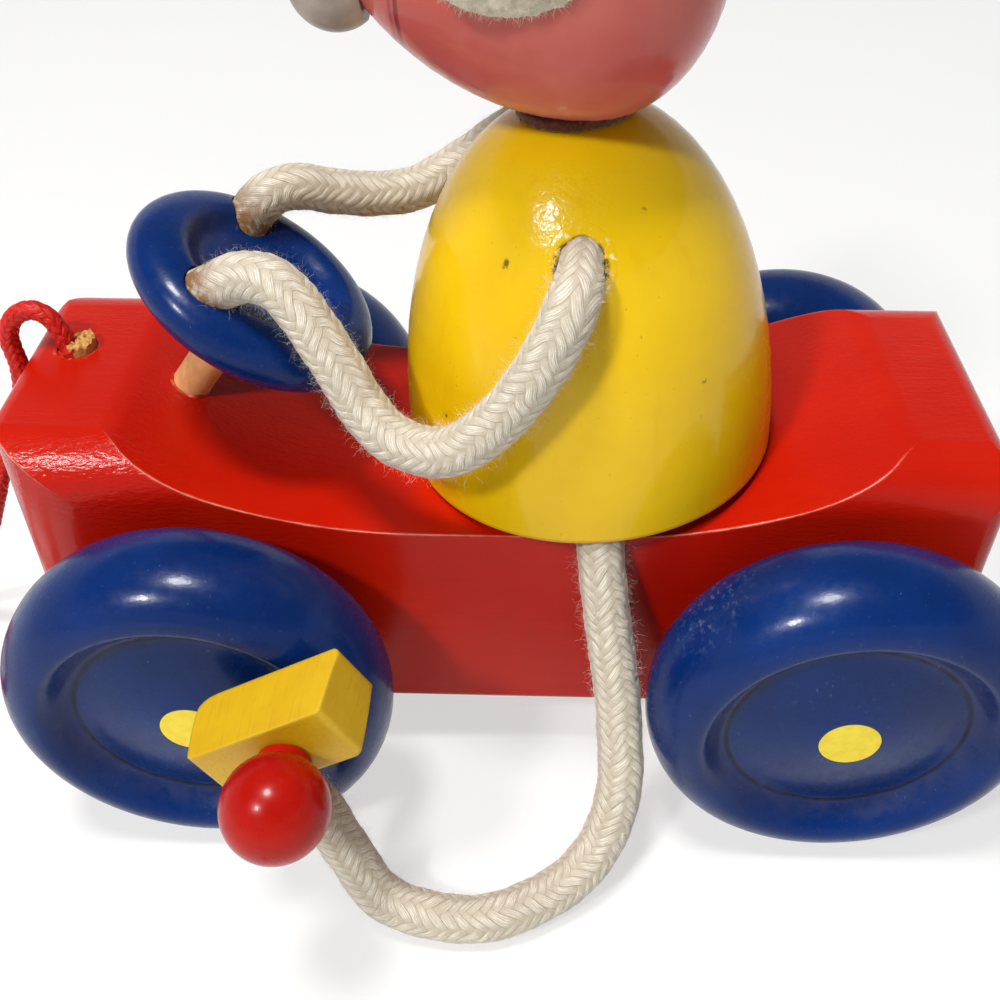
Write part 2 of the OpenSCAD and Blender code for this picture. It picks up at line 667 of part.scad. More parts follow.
module nose_dowel() {
  color([0.82, 0.66, 0.45]) on_nose() translate([0, 0, snout_len - nose_dowel_seat + end_gap])
    cylinder(d = nose_dowel_d, h = 2 * (nose_dowel_seat - end_gap));
}

// A padded round ear, flattened where it is glued to the side of the head
module ear() {
  color([0.62, 0.58, 0.5]) difference() {
    on_torso() translate([ear_x - head_back_set, ear_y, head_z + ear_z]) rotate([-90 - ear_lean, 0, 0])
      rotate_extrude() polygon(concat([[0, -ear_t / 2]], [for (i = [1:15]) let (a = 12 * i - 90)
      [ear_r * pow(cos(a), 0.6), ear_t / 2 * sin(a)]]));
    egg();
  }
}
module left_ear() {
  ear();
}
module right_ear() {
  mirror([0, 1, 0]) ear();
}

module left_eye() {
  color([0.03, 0.03, 0.03]) at_left_eye() sphere(d = eye_d, $fn = 48);
}
module right_eye() {
  color([0.03, 0.03, 0.03]) mirror([0, 1, 0]) at_left_eye() sphere(d = eye_d, $fn = 48);
}

module pull_cord() {
  color([0.78, 0.12, 0.07]) tube(cord_route, cord_d, 8);
}
module pull_cord_coil() {
  color([0.78, 0.12, 0.07]) tube(coil_path, cord_d, 6);
}
module pull_cord_knot() {
  color([0.78, 0.12, 0.07]) translate(knot_at) sphere(d = knot_d, $fn = 48);
}
module cord_peg() {
  color([0.78, 0.62, 0.4]) translate([peg_x, cord_route[0][1], hood_z - cord_hole_depth + 1])
    cylinder(d = peg_d, h = cord_hole_depth - 1 + peg_rise);
}

car_body();
front_axle();
rear_axle();
front_left_wheel();
front_right_wheel();
rear_left_wheel();
rear_right_wheel();
left_crank_pin();
right_crank_pin();
left_pedal_ball();
right_pedal_ball();
left_shoe();
right_shoe();
left_leg_rope();
right_leg_rope();
left_arm_rope();
right_arm_rope();
steering_wheel();
steering_column();
torso();
torso_dowel();
neck_washer();
neck_dowel();
head();
nose();
nose_dowel();
left_ear();
right_ear();
left_eye();
right_eye();
pull_cord();
pull_cord_coil();
pull_cord_knot();
cord_peg();
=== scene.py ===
"""Looks for the wheeled pull toy: painted wood, braided rope limbs, a red pull cord and plush ears."""

import math

import bmesh
import bpy
import numpy as np
from mathutils import Matrix, Vector, noise
from mathutils.bvhtree import BVHTree


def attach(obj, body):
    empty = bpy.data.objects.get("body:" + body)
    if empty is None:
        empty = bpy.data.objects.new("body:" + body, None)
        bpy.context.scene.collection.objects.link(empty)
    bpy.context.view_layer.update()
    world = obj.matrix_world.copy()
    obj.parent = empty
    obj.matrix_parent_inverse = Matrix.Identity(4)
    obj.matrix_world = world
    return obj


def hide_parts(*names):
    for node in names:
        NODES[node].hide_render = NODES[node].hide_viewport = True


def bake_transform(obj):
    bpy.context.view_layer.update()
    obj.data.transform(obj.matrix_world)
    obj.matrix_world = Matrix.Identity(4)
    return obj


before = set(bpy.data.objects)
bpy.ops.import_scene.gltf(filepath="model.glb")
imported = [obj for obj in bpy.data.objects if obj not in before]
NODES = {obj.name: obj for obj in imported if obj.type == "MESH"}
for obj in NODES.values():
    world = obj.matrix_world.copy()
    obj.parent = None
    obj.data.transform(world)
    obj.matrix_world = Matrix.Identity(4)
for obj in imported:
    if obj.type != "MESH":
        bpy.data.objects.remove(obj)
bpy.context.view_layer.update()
SCENE = bpy.context.scene
MM = 0.001

# Sizes of the part that several pieces need, in millimetres
ROPE_D, CORD_D = 9.4, 4.2
FRONT_X, REAR_X, AXLE_Z = 63.2, -66.2, 39.0
HOOD_Z = 84.5
CORD_HOLE, CORD_AT = (94.6, -5.0), (96.2, -5.0)
COLUMN_TILT = math.radians(35.9)
SPACING = 0.5


def metres(point):
    return tuple(float(x) * MM for x in point)


# Camera, at the photograph's place

def make_camera():
    az, el, roll = -0.021747, 0.721618, 0.004487
    place = (-0.0006, 0.1970, 0.2209)
    back = Vector((math.sin(az) * math.cos(el), math.cos(az) * math.cos(el), math.sin(el)))
    right = (-back).cross(Vector((0, 0, 1))).normalized()
    up = right.cross(-back)
    x = right * math.cos(roll) + up * math.sin(roll)
    y = up * math.cos(roll) - right * math.sin(roll)
    data = bpy.data.cameras.new("camera")
    data.lens, data.sensor_width = 40.842, 36
    data.clip_start, data.clip_end = 0.01, 20
    obj = bpy.data.objects.new("camera", data)
    obj.matrix_world = Matrix((*[(x[k], y[k], back[k], place[k]) for k in range(3)], (0, 0, 0, 1)))
    SCENE.collection.objects.link(obj)
    SCENE.camera = obj


make_camera()


# Small helpers for shader nodes

class Shader:
    """A material with its node tree, and short ways to add nodes to it."""

    def __init__(self, name):
        self.material = bpy.data.materials.new(name)
        self.material.use_nodes = True
        self.tree = self.material.node_tree
        self.bsdf = self.tree.nodes["Principled BSDF"]
        self.place = self.add("ShaderNodeTexCoord").outputs["Object"]

    def add(self, kind, **settings):
        made = self.tree.nodes.new(kind)
        for key, value in settings.items():
            setattr(made, key, value)
        return made

    def put(self, socket, value):
        if isinstance(value, bpy.types.NodeSocket):
            self.tree.links.new(value, socket)
        else:
            socket.default_value = value

    def math(self, op, a, b=0.0, c=0.0):
        made = self.add("ShaderNodeMath", operation=op)
        for socket, value in zip(made.inputs, (a, b, c)):
            self.put(socket, value)
        return made.outputs[0]

    def times(self, a, b):
        return self.math("MULTIPLY", a, b)

    def plus(self, a, b):
        return self.math("ADD", a, b)

    def minus(self, a, b):
        return self.math("SUBTRACT", a, b)

    def most(self, a, b):
        return self.math("MAXIMUM", a, b)

    def vector(self, op, a, b=(0, 0, 0)):
        made = self.add("ShaderNodeVectorMath", operation=op)
        self.put(made.inputs[0], a)
        self.put(made.inputs[1], b)
        return made.outputs["Value" if op in ("LENGTH", "DOT_PRODUCT", "DISTANCE") else "Vector"]

    def axes(self, vector=None):
        made = self.add("ShaderNodeSeparateXYZ")
        self.put(made.inputs[0], vector or self.place)
        return made.outputs

    def noise(self, scale, detail=3.0, rough=0.55, at=None):
        """Noise from 0 to 1. A scale of three numbers stretches it along the axes."""
        made = self.add("ShaderNodeTexNoise")
        vector = at or self.place
        if isinstance(scale, tuple):
            vector = self.vector("MULTIPLY", vector, scale)
            scale = 1.0
        self.put(made.inputs["Vector"], vector)
        self.put(made.inputs["Scale"], scale)
        self.put(made.inputs["Detail"], detail)
        self.put(made.inputs["Roughness"], rough)
        return made.outputs["Fac"]

    def step(self, value, low, high, start=0.0, end=1.0):
        """A smooth step from start to end as value goes from low to high."""
        made = self.add("ShaderNodeMapRange", interpolation_type="SMOOTHSTEP")
        for socket, x in zip(made.inputs, (value, low, high, start, end)):
            self.put(socket, x)
        return made.outputs[0]

    def mix(self, share, a, b):
        made = self.add("ShaderNodeMix", data_type="RGBA")
        for index, value in ((0, share), (6, a), (7, b)):
            self.put(made.inputs[index], value)
        return made.outputs[2]

    def near(self, point, radius, soft):
        """1 within radius of a point in millimetres, and 0 beyond radius and soft."""
        far = self.vector("DISTANCE", self.place, metres(point))
        return self.step(far, radius * MM, (radius + soft) * MM, 1.0, 0.0)

    def height_over(self, point, way):
        """Distance in metres from a point in millimetres, measured along a way."""
        return self.vector("DOT_PRODUCT", self.vector("SUBTRACT", self.place, metres(point)), way)

    def edges(self, radius):
        """The rounded normal at edges, and how strongly a place is an edge."""
        bevel = self.add("ShaderNodeBevel", samples=6)
        self.put(bevel.inputs["Radius"], radius * MM)
        flat = self.add("ShaderNodeNewGeometry").outputs["Normal"]
        same = self.vector("DOT_PRODUCT", bevel.outputs[0], flat)
        return bevel.outputs[0], self.step(same, 0.93, 0.995, 1.0, 0.0)

    def bump(self, height, strength, distance, normal=None):
        made = self.add("ShaderNodeBump")
        self.put(made.inputs["Height"], height)
        self.put(made.inputs["Strength"], strength)
        self.put(made.inputs["Distance"], distance * MM)
        if normal is not None:
            self.put(made.inputs["Normal"], normal)
        return made.outputs[0]

    def finish(self, **values):
        names = {"color": "Base Color", "rough": "Roughness", "normal": "Normal", "coat": "Coat Weight",
                 "coat_rough": "Coat Roughness", "coat_normal": "Coat Normal", "sheen": "Sheen Weight",
                 "sheen_rough": "Sheen Roughness", "specular": "Specular IOR Level"}
        for key, value in values.items():
            self.put(self.bsdf.inputs[names[key]], value)
        return self.material


def rgb(r, g, b):
    """A colour given as it looks on a screen, from 0 to 255."""
    out = []
    for x in (r, g, b):
        x /= 255
        out.append(x / 12.92 if x <= 0.04045 else ((x + 0.055) / 1.055) ** 2.4)
    return (*out, 1.0)


# Mesh helpers

def new_mesh(name, points, faces, smooth=True):
    mesh = bpy.data.meshes.new(name)
    mesh.from_pydata([tuple(p) for p in points], [], [tuple(f) for f in faces])
    mesh.update()
    mesh.polygons.foreach_set("use_smooth", [smooth] * len(mesh.polygons))
    obj = bpy.data.objects.new(name, mesh)
    SCENE.collection.objects.link(obj)
    return obj


def dress(obj, material):
    obj.data.materials.clear()
    obj.data.materials.append(material)
    return obj


def outward(obj):
    """Turn all faces outward."""
    work = bmesh.new()
    work.from_mesh(obj.data)
    bmesh.ops.recalc_face_normals(work, faces=work.faces)
    work.to_mesh(obj.data)
    work.free()


def move_points(obj, points):
    obj.data.vertices.foreach_set("co", points.astype(np.float32).ravel())
    obj.data.update()


def ring_faces(rings, across):
    """Faces of a closed band of rings, each with as many points as its section has."""
    faces = []
    for k in range(rings):
        here, following = k * across, (k + 1) % rings * across
        for j in range(across):
            after = (j + 1) % across
            faces.append((here + j, here + after, following + after, following + j))
    return faces


def distances(points):
    """How far each point lies along the line through all of them."""
    return np.concatenate([[0], np.cumsum(np.linalg.norm(np.diff(points, axis=0), axis=1))])


def spread_evenly(points, count):
    along = distances(points)
    at = np.linspace(0, along[-1], count)
    return np.stack([np.interp(at, along, points[:, k]) for k in range(3)], axis=1)


def smooth_route(route, step):
    """Points step apart along a smooth curve through the route, in millimetres."""
    p = np.array(route, float)
    p = np.vstack([2 * p[0] - p[1], p, 2 * p[-1] - p[-2]])
    t = np.linspace(0, 1, 24, endpoint=False)[:, None]
    fine = []
    for a, b, c, d in zip(p[:-3], p[1:-2], p[2:-1], p[3:]):
        fine.append(0.5 * (2 * b + (c - a) * t + (2 * a - 5 * b + 4 * c - d) * t**2 + (3 * b - a - 3 * c + d) * t**3))
    fine = np.vstack(fine + [p[-2:-1]])
    return spread_evenly(fine, int(round(distances(fine)[-1] / step)) + 1)


class Line:
    """A centreline with the distance along it and a frame carried from point to point."""

    def __init__(self, points):
        self.p = np.array(points, float)
        self.s = distances(self.p)
        t = np.gradient(self.p, axis=0)
        self.t = t / np.linalg.norm(t, axis=1)[:, None]
        n = np.array([0.3, 0.9, 0.31])
        self.n = np.zeros_like(self.p)
        for i, way in enumerate(self.t):
            n = n - (n @ way) * way
            n /= np.linalg.norm(n)
            self.n[i] = n
        self.b = np.cross(self.t, self.n)

    def ring(self, i, angle, radius):
        """Points round the line, at indices i."""
        return self.p[i] + radius[..., None] * (
            np.cos(angle)[..., None] * self.n[i] + np.sin(angle)[..., None] * self.b[i])


def braid(a, b, floats):
    """Height of a braid from 0 to 1, where a counts strands round the rope and b stitches along it."""
    c1, c2 = a + b, a - b
    i1, i2 = np.floor(c1), np.floor(c2)
    f1, f2 = c1 - i1, c2 - i2
    k = np.mod(i1 + i2, 2 * floats)
    first = k < floats
    across = np.where(first, f1, f2)
    along = np.where(first, k + f2, k - floats + f1) / floats
    return (1 - np.abs(2 * across - 1) ** 2.6) * (0.3 + 0.7 * np.sin(np.pi * np.clip(along, 0, 1)) ** 0.7)


def rope_mesh(name, line, first, last, diameter, around, strands, floats, lay, relief, loose, dull=None, pinch=None):
    """A braided tube over the rings first to last of a line. Its UV counts strands round and stitches along."""
    rows = np.arange(first, last + 1)
    k = np.arange(around + 1)
    angle = np.broadcast_to(2 * np.pi * k / around, (len(rows), around + 1))
    run = np.broadcast_to(line.s[rows][:, None], angle.shape) / diameter * ROPE_D
    # Stitches lie a little loose, so neither their width nor their length is even
    a = strands * k / around + loose * (0.09 * np.sin(2 * angle + 0.53 * run) + 0.07 * np.sin(5 * angle - 0.81 * run))
    b = line.s[rows][:, None] / lay + loose * (
        0.10 * np.sin(3 * angle + 0.37 * run) + 0.08 * np.sin(4 * angle - 0.67 * run) + 0.07 * np.sin(0.9 * run))
    snug = np.ones(len(rows)) if pinch is None else pinch(line.s[rows])
    swell = snug[:, None] * (1 + loose * (0.018 * np.sin(0.31 * run + angle) + 0.014 * np.sin(0.83 * run - 2 * angle)))
    radius = diameter / 2 * swell + relief * (braid(a, b, floats) - 0.8)
    i = np.broadcast_to(rows[:, None], a.shape)
    points = line.ring(i, angle, radius)[:, :around].reshape(-1, 3) * MM
    n = len(rows)
    faces = [(r * around + c, r * around + (c + 1) % around,
              (r + 1) * around + (c + 1) % around, (r + 1) * around + c)
             for r in range(n - 1) for c in range(around)]
    ends = [len(points), len(points) + 1]
    points = np.vstack([points, line.p[[first, last]] * MM])
    faces += [(ends[0], (c + 1) % around, c) for c in range(around)]
    faces += [(ends[1], (n - 1) * around + c, (n - 1) * around + (c + 1) % around) for c in range(around)]
    obj = new_mesh(name, points, faces)
    uv = obj.data.uv_layers.new(name="braid")
    flat = []
    for r in range(n - 1):
        for c in range(around):
            for dr, dc in ((0, 0), (0, 1), (1, 1), (1, 0)):
                flat += [a[r + dr, c + dc], b[r + dr, c + dc]]
    for r in (0, n - 1):
        for c in range(around):
            flat += [a[r, c] + 0.5, b[r, c]] + [a[r, c], b[r, c]] * 2
    uv.data.foreach_set("uv", np.array(flat, np.float32))
    mark = obj.data.attributes.new("dull", "FLOAT", "POINT")
    values = np.zeros(len(points), np.float32)
    if dull is not None:
        values[:-2] = np.repeat(dull(line.s[rows]), around)
    mark.data.foreach_set("value", values)
    return obj


def hairs(name, roots, normals, sides, low, high, width, lift, curl, seed, bends=3):
    """Fine curled fibres, each a closed three-sided spike that stays off the floor. Millimetres in, metres out."""
    floor_gap, thinning = 0.1, 0.7
    rng = np.random.default_rng(seed)
    n = len(roots)
    part = (low + (high - low) * rng.uniform(0, 1, (n, 1)) ** 2) / bends
    other = np.cross(normals, sides)
    way = normals * lift + sides * rng.normal(0, 1, (n, 1)) + other * rng.normal(0, 1, (n, 1))
    way /= np.linalg.norm(way, axis=1)[:, None]
    spots = [roots]
    for _ in range(bends):
        spots.append(spots[-1] + way * part)
        spots[-1][:, 2] = np.maximum(spots[-1][:, 2], floor_gap)
        way = way + rng.normal(0, curl, (n, 3))
        way /= np.linalg.norm(way, axis=1)[:, None]
    u = np.cross(spots[1] - roots, sides + 0.01)
    u /= np.linalg.norm(u, axis=1)[:, None]
    v = np.cross(u, normals)
    rings = []
    for p, w in zip(spots, np.linspace(1.0, thinning, bends)):
        for k in range(3):
            q = 2 * math.pi * k / 3
            rings.append(p + w * width / 2 * (math.cos(q) * u + math.sin(q) * v))
    points = np.stack(rings + spots[bends:], axis=1).reshape(-1, 3) * MM
    tip = 3 * bends
    one = [(2, 1, 0)]
    for row in range(0, tip - 3, 3):
        one += [(row + k, row + (k + 1) % 3, row + 3 + (k + 1) % 3, row + 3 + k) for k in range(3)]
    one += [(tip - 3 + k, tip - 3 + (k + 1) % 3, tip) for k in range(3)]
    faces = [tuple((tip + 1) * h + corner for corner in face) for h in range(n) for face in one]
    return new_mesh(name, points, faces, smooth=False)


LIMB_FUZZ, CORD_FUZZ = 1.5, 0.3
LOOSE_FIBRE = {"low": 0.9, "high": 4.4, "width": 0.026, "lift": 0.75, "curl": 0.7, "bends": 5}
EAR_FIBRE = {"low": 0.9, "high": 2.1, "width": 0.07, "lift": 1.5, "curl": 0.35}


def rope_hairs(name, line, first, last, diameter, density, seed):
    """Loose fibres on a rope, density of them on each square millimetre, rooted a little below its surface."""
    root_depth = 0.15
    rng = np.random.default_rng(seed)
    long = line.s[last] - line.s[first]
    n = int(long * math.pi * diameter * density)
    i = rng.integers(first, last + 1, n)
    angle = rng.uniform(0, 2 * math.pi, n)
    out = np.cos(angle)[:, None] * line.n[i] + np.sin(angle)[:, None] * line.b[i]
    roots = line.p[i] + out * (diameter / 2 - root_depth)
    return hairs(name, roots, out, line.t[i], seed=seed + 1, **LOOSE_FIBRE)


# Limb and cord routes, in millimetres

LEFT_LEG = [
    (-15, 25.5, 83.5), (-16.5, 31.5, 71), (-18, 38.5, 57.5), (-20.5, 45.5, 44), (-22, 52, 33.5), (-22.5, 59, 23),
    (-19.5, 66, 12.5), (-11, 73.5, 6.5), (1.5, 79.5, 5.2), (13.5, 80.5, 5.4), (25.8, 77.2, 7.8), (32.6, 73, 18),
    (37, 71.2, 29), (41, 71.2, 37), (44.6, 71.2, 43.4), (47.8, 71.2, 48.95)]
RIGHT_LEG = [(x, -y, z) for x, y, z in [
    (-15, 25.5, 83.5), (-16.5, 31.5, 71), (-18, 38.5, 57.5), (-19, 46, 43.5), (-17, 54, 30.5), (-11, 62, 18.5),
    (-0.5, 69.5, 9.3), (12.5, 76, 5.4), (26.5, 80, 5.2), (41, 80.5, 5.2), (54.5, 77.5, 5.3), (66, 73, 6),
    (75, 71.4, 8.2), (83.3, 71.2, 11.3), (89.4, 71.2, 13.5)]]
LEFT_ARM = [
    (-10.8, 18, 124.2), (-10.4, 26.6, 123.6), (-9, 34.2, 121.4), (-6.4, 37, 115.4), (-2.7, 38, 108.6),
    (3.5, 38, 99), (12.5, 37, 91.5), (21.5, 34, 91), (28, 30, 95.5), (33.5, 26, 103.5), (39, 22, 111),
    (44.2, 19, 115), (50.2, 17, 115.2), (55.2, 15.8, 112.6), (58.9, 14.8, 110.3)]
RIGHT_ARM = [
    (-12.4, -18, 124.2), (-12, -26.6, 124.6), (-8.5, -34.4, 125.2), (2, -36.6, 121), (12, -33.8, 114.8),
    (22, -30, 110.4), (31, -27, 110), (39, -24, 112), (45.2, -21, 114.4), (50.2, -18.8, 114.4), (54, -17.4, 112.2),
    (57.4, -16.4, 107.8)]
CORD = [
    (96.2, -5, 72), (96.2, -5, 79), (96.4, -5, 84.6), (97.4, -5.2, 88.4), (99.2, -5.6, 91.6), (102.2, -5.9, 93),
    (105.6, -6, 92), (108, -6, 89.6), (109.2, -6, 86.6), (109.2, -5.8, 83.4), (108.8, -5.4, 79.5),
    (109.4, -4.8, 73.5), (111.8, -3.6, 66.5), (115.2, -2.2, 59.8), (118.6, -1, 52.8), (122.6, 0, 43.2),
    (127.6, 0, 32.2), (133.5, -1.5, 21.5), (139.5, -3.5, 12.5), (146, -5.5, 6.3), (152, -7, 3.2), (157, -7.5, 2.3),
    (161.5, -7.5, 2.3)]
LIMB = {"diameter": ROPE_D, "around": 72, "strands": 12, "floats": 3, "lay": 2.4, "relief": 0.22, "loose": 1.0}
THREAD = {"diameter": CORD_D, "around": 36, "strands": 8, "floats": 2, "lay": 2.0, "relief": 0.34, "loose": 0.6}


def braided(name, pattern, threads, tones, shine, sheen):
    """Braid shading that follows the tube's UV: stitches, the glossy threads in a stitch with a painted highlight on
    its crown, and painted shade in the soft gaps.
    """
    s = Shader(name)
    uv = s.add("ShaderNodeUVMap", uv_map="braid").outputs[0]
    a, b, _ = s.axes(uv)
    floats, strands = pattern["floats"], pattern["strands"]
    c1, c2 = s.plus(a, b), s.minus(a, b)
    i1, i2 = s.math("FLOOR", c1), s.math("FLOOR", c2)
    f1, f2 = s.minus(c1, i1), s.minus(c2, i2)
    k = s.math("FLOORED_MODULO", s.plus(i1, i2), 2.0 * floats)
    second = s.math("GREATER_THAN", k, floats - 0.5)

    def pick(x, y):
        return s.plus(x, s.times(second, s.minus(y, x)))

    across = pick(f1, f2)
    along = s.math("DIVIDE", pick(s.plus(k, f2), s.plus(s.minus(k, floats), f1)), floats)
    arch = s.most(s.math("SINE", s.times(along, math.pi)), 0.0)
    edge = s.math("POWER", s.math("ABSOLUTE", s.math("MULTIPLY_ADD", across, 2.0, -1.0)), 2.6)
    height = s.times(s.minus(1.0, edge), s.math("MULTIPLY_ADD", arch, 0.7, 0.3))
    # Every stitch has its own number
    strand = s.math("FLOORED_MODULO", pick(i1, i2), float(strands))
    column = s.math("FLOORED_MODULO", s.math("FLOOR", s.math("DIVIDE", s.plus(i1, i2), 2.0 * floats)),
                    float(strands / floats))
    mark = s.math("MULTIPLY_ADD", strand, 12.99, s.math("MULTIPLY_ADD", column, 78.2, s.times(second, 37.7)))
    each = s.math("FRACT", s.times(s.math("SINE", mark), 437.5))
    phase = s.plus(s.times(across, threads), s.math("MULTIPLY_ADD", s.noise(1100.0, 2.0), 0.8, each))
    thread = s.math("MULTIPLY_ADD", s.math("COSINE", s.times(phase, 2 * math.pi)), 0.5, 0.5)
    # Fine fibres run along each strand; they roughen the bump and break up the painted highlight on each stitch's
    # crown here and there
    strand_at = s.add("ShaderNodeCombineXYZ")
    for socket, value, scale in zip(strand_at.inputs, (across, along, each), (0.8 * threads, 1.4, 41.0)):
        s.put(socket, s.times(value, scale))
    streak = s.noise(1.5, 2.0, at=strand_at.outputs[0])
    crown = s.times(s.step(arch, 0.25, 0.95), s.step(edge, 0.35, 0.9, 1.0, 0.0))
    # Painted shade: the low gaps between stitches take the darker gap tone
    tone = s.mix(s.step(height, 0.0, 0.35), tones[0], tones[1])
    tone = s.mix(s.times(each, 0.5), tone, tones[3])
    # Painted highlight: the crown of each stitch is lightened towards the highlight tone, most along its threads
    painted_glint = s.times(crown, s.math("MULTIPLY_ADD", s.math("POWER", thread, 1.6), 0.7, 0.2))
    painted_glint = s.times(painted_glint, s.step(streak, 0.36, 0.6, 0.15, 1.0))
    tone = s.mix(painted_glint, tone, tones[2])
    tone = s.mix(s.times(s.step(s.noise(120.0, 3.0), 0.45, 0.75), 0.3), tone, tones[1])
    dull = s.add("ShaderNodeAttribute", attribute_name="dull").outputs["Fac"]
    stained = s.times(dull, s.step(s.noise(420.0, 3.0), 0.25, 0.55))
    tone = s.mix(stained, tone, tones[4])
    fine = s.plus(s.times(s.times(thread, arch), 0.25), s.times(streak, 0.6))
    relief = s.plus(s.times(height, 0.35), fine)
    return s.finish(color=tone, rough=s.step(thread, 0.0, 1.0, shine + 0.15, shine), specular=0.3,
                    normal=s.bump(relief, 0.8, 0.26), sheen=sheen, sheen_rough=0.5)


# Tones in order: painted shade in the gaps, the rope's own colour, painted highlight on the crowns, a second own
# colour, the brown of glue stains
ROPE = braided("limb_rope", LIMB, 5.0, (
    rgb(164, 151, 130), rgb(190, 179, 160), rgb(243, 237, 224), rgb(178, 167, 148), rgb(128, 88, 50)), 0.42, 0.2)
RED_CORD = braided("red_cord", THREAD, 2.0, (
    rgb(140, 6, 2), rgb(188, 16, 5), rgb(230, 44, 18), rgb(168, 12, 4), rgb(120, 60, 40)), 0.4, 0.0)


def fibre_material(name, low, high):
    s = Shader(name)
    return s.finish(color=s.mix(s.noise(600.0, 2.0), low, high), rough=0.6, specular=0.2, sheen=0.4)


ROPE_FIBRE = fibre_material("rope_fibre", rgb(206, 198, 182), rgb(248, 244, 236))
CORD_FIBRE = fibre_material("cord_fibre", rgb(180, 26, 16), rgb(226, 60, 40))
PILE = fibre_material("ear_pile", rgb(172, 162, 140), rgb(222, 215, 196))


def end_stain(long, start, end):
    """Brown glue near the ends of a rope, over the given lengths from its start and its end."""
    def at(s):
        near_start = np.clip(1.6 - 1.6 * s / start, 0, 1)
        near_end = np.clip(1.6 - 1.6 * (long - s) / end, 0, 1)
        return np.maximum(near_start, near_end).astype(np.float32)
    return at


def shoulder_pinch(s):
    """How much of its width the rope keeps where the shoulder's hole squeezes it."""
    squeeze, hole_at, spread = 0.15, 8.5, 4.5
    return 1 - squeeze * np.exp(-((s - hole_at) / spread) ** 2)


def add_arm(name, route, seed):
    line = Line(smooth_route(route, SPACING))
    last = len(line.p) - 1
    bare_start, bare_end = 14, 8
    obj = rope_mesh(name, line, 0, last, dull=end_stain(line.s[-1], 7.0, 8.5), pinch=shoulder_pinch, **LIMB)
    dress(obj, ROPE)
    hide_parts(f"{name}_rope")
    fuzz = rope_hairs(f"{name}_fuzz", line, bare_start, last - bare_end, ROPE_D, LIMB_FUZZ, seed)
    dress(fuzz, ROPE_FIBRE)
    for piece in (obj, fuzz):
        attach(piece, "car")


def add_leg(side, route, hang_end, ankle, seed):
    """A leg hangs from the car as far as hang_end, and that part is attached to the car. The shin, between knee and
    ankle, and what is left below the ankle are separate pieces, baked in place."""
    line = Line(smooth_route(route, SPACING))
    last = len(line.p) - 1
    low, split = [int(np.argmin(np.linalg.norm(line.p - np.array(at), axis=1))) for at in (hang_end, ankle)]
    stain = end_stain(line.s[-1], 12.0, 34.0)
    bare_start, bare_end = 30, 12
    parts = (("leg", 0, low, seed), ("shin", low, split, seed + 3), ("ankle", split, last, seed + 7))
    ropes, fuzzes = [], []
    for part, start, end, draw in parts:
        ropes.append(rope_mesh(f"{side}_{part}", line, start, end, dull=stain, **LIMB))
        first = start + (bare_start if part == "leg" else 0)
        final = end - (bare_end if part == "ankle" else 0)
        fuzzes.append(rope_hairs(f"{side}_{part}_fuzz", line, first, final, ROPE_D, LIMB_FUZZ, draw))
        dress(ropes[-1], ROPE)
        dress(fuzzes[-1], ROPE_FIBRE)
    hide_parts(f"{side}_leg_rope")
    for thigh, shin, foot in (ropes, fuzzes):
        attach(thigh, "car")
        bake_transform(shin)
        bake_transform(foot)


def coil_points():
    """The loose coil on the floor: in on the floor, up in half a turn, and out on top."""
    turn, level, climb_steps = 24, 36, 12
    inner, pitch, lift = 20.0, 5.0, 2.3
    mid_x, start_y = 166, -7.5
    i = np.arange(0, 2 * level + climb_steps + 0.01, 0.25)
    climb = np.clip((i - level) / climb_steps, 0, 1)
    r = np.where(i <= level, inner + pitch * (level - i) / turn,
                 np.where(i >= level + climb_steps, inner + pitch * (i - level - climb_steps) / turn,
                          inner - pitch / 3 * np.sin(math.pi * climb)))
    z = lift + pitch * (1 - np.cos(math.pi * climb)) / 2
    angle = 2 * math.pi * i / turn - math.pi / 2
    p = np.stack([mid_x + r * np.cos(angle), r * np.sin(angle), z], axis=1)
    p[:, 1] += start_y - p[0, 1]
    return p


def add_pull_cord():
    coil = coil_points()
    tail = coil[-1] - coil[-2]
    tail /= np.linalg.norm(tail)
    lead = np.linspace(4.5, 0.6, 8)[:, None] * np.array([-1.0, 0, 0]) + coil[0]
    end = coil[-1] + np.linspace(0.6, 6.0, 10)[:, None] * tail
    rough = np.vstack([smooth_route(CORD, SPACING)[:-1], lead, coil, end])
    line = Line(spread_evenly(rough, int(distances(rough)[-1] / SPACING) + 1))
    last = len(line.p) - 1
    in_hole = 28
    obj = dress(rope_mesh("pull_cord_braid", line, 0, last, **THREAD), RED_CORD)
    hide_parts("pull_cord", "pull_cord_coil")
    fuzz = rope_hairs("pull_cord_fuzz", line, in_hole, last, CORD_D, CORD_FUZZ, 51)
    dress(fuzz, CORD_FIBRE)
    knot = add_knot(coil[-1] + 8.0 * tail, tail)
    tie = add_tie(coil)
    for piece in (obj, fuzz, knot, tie):
        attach(piece, "car")


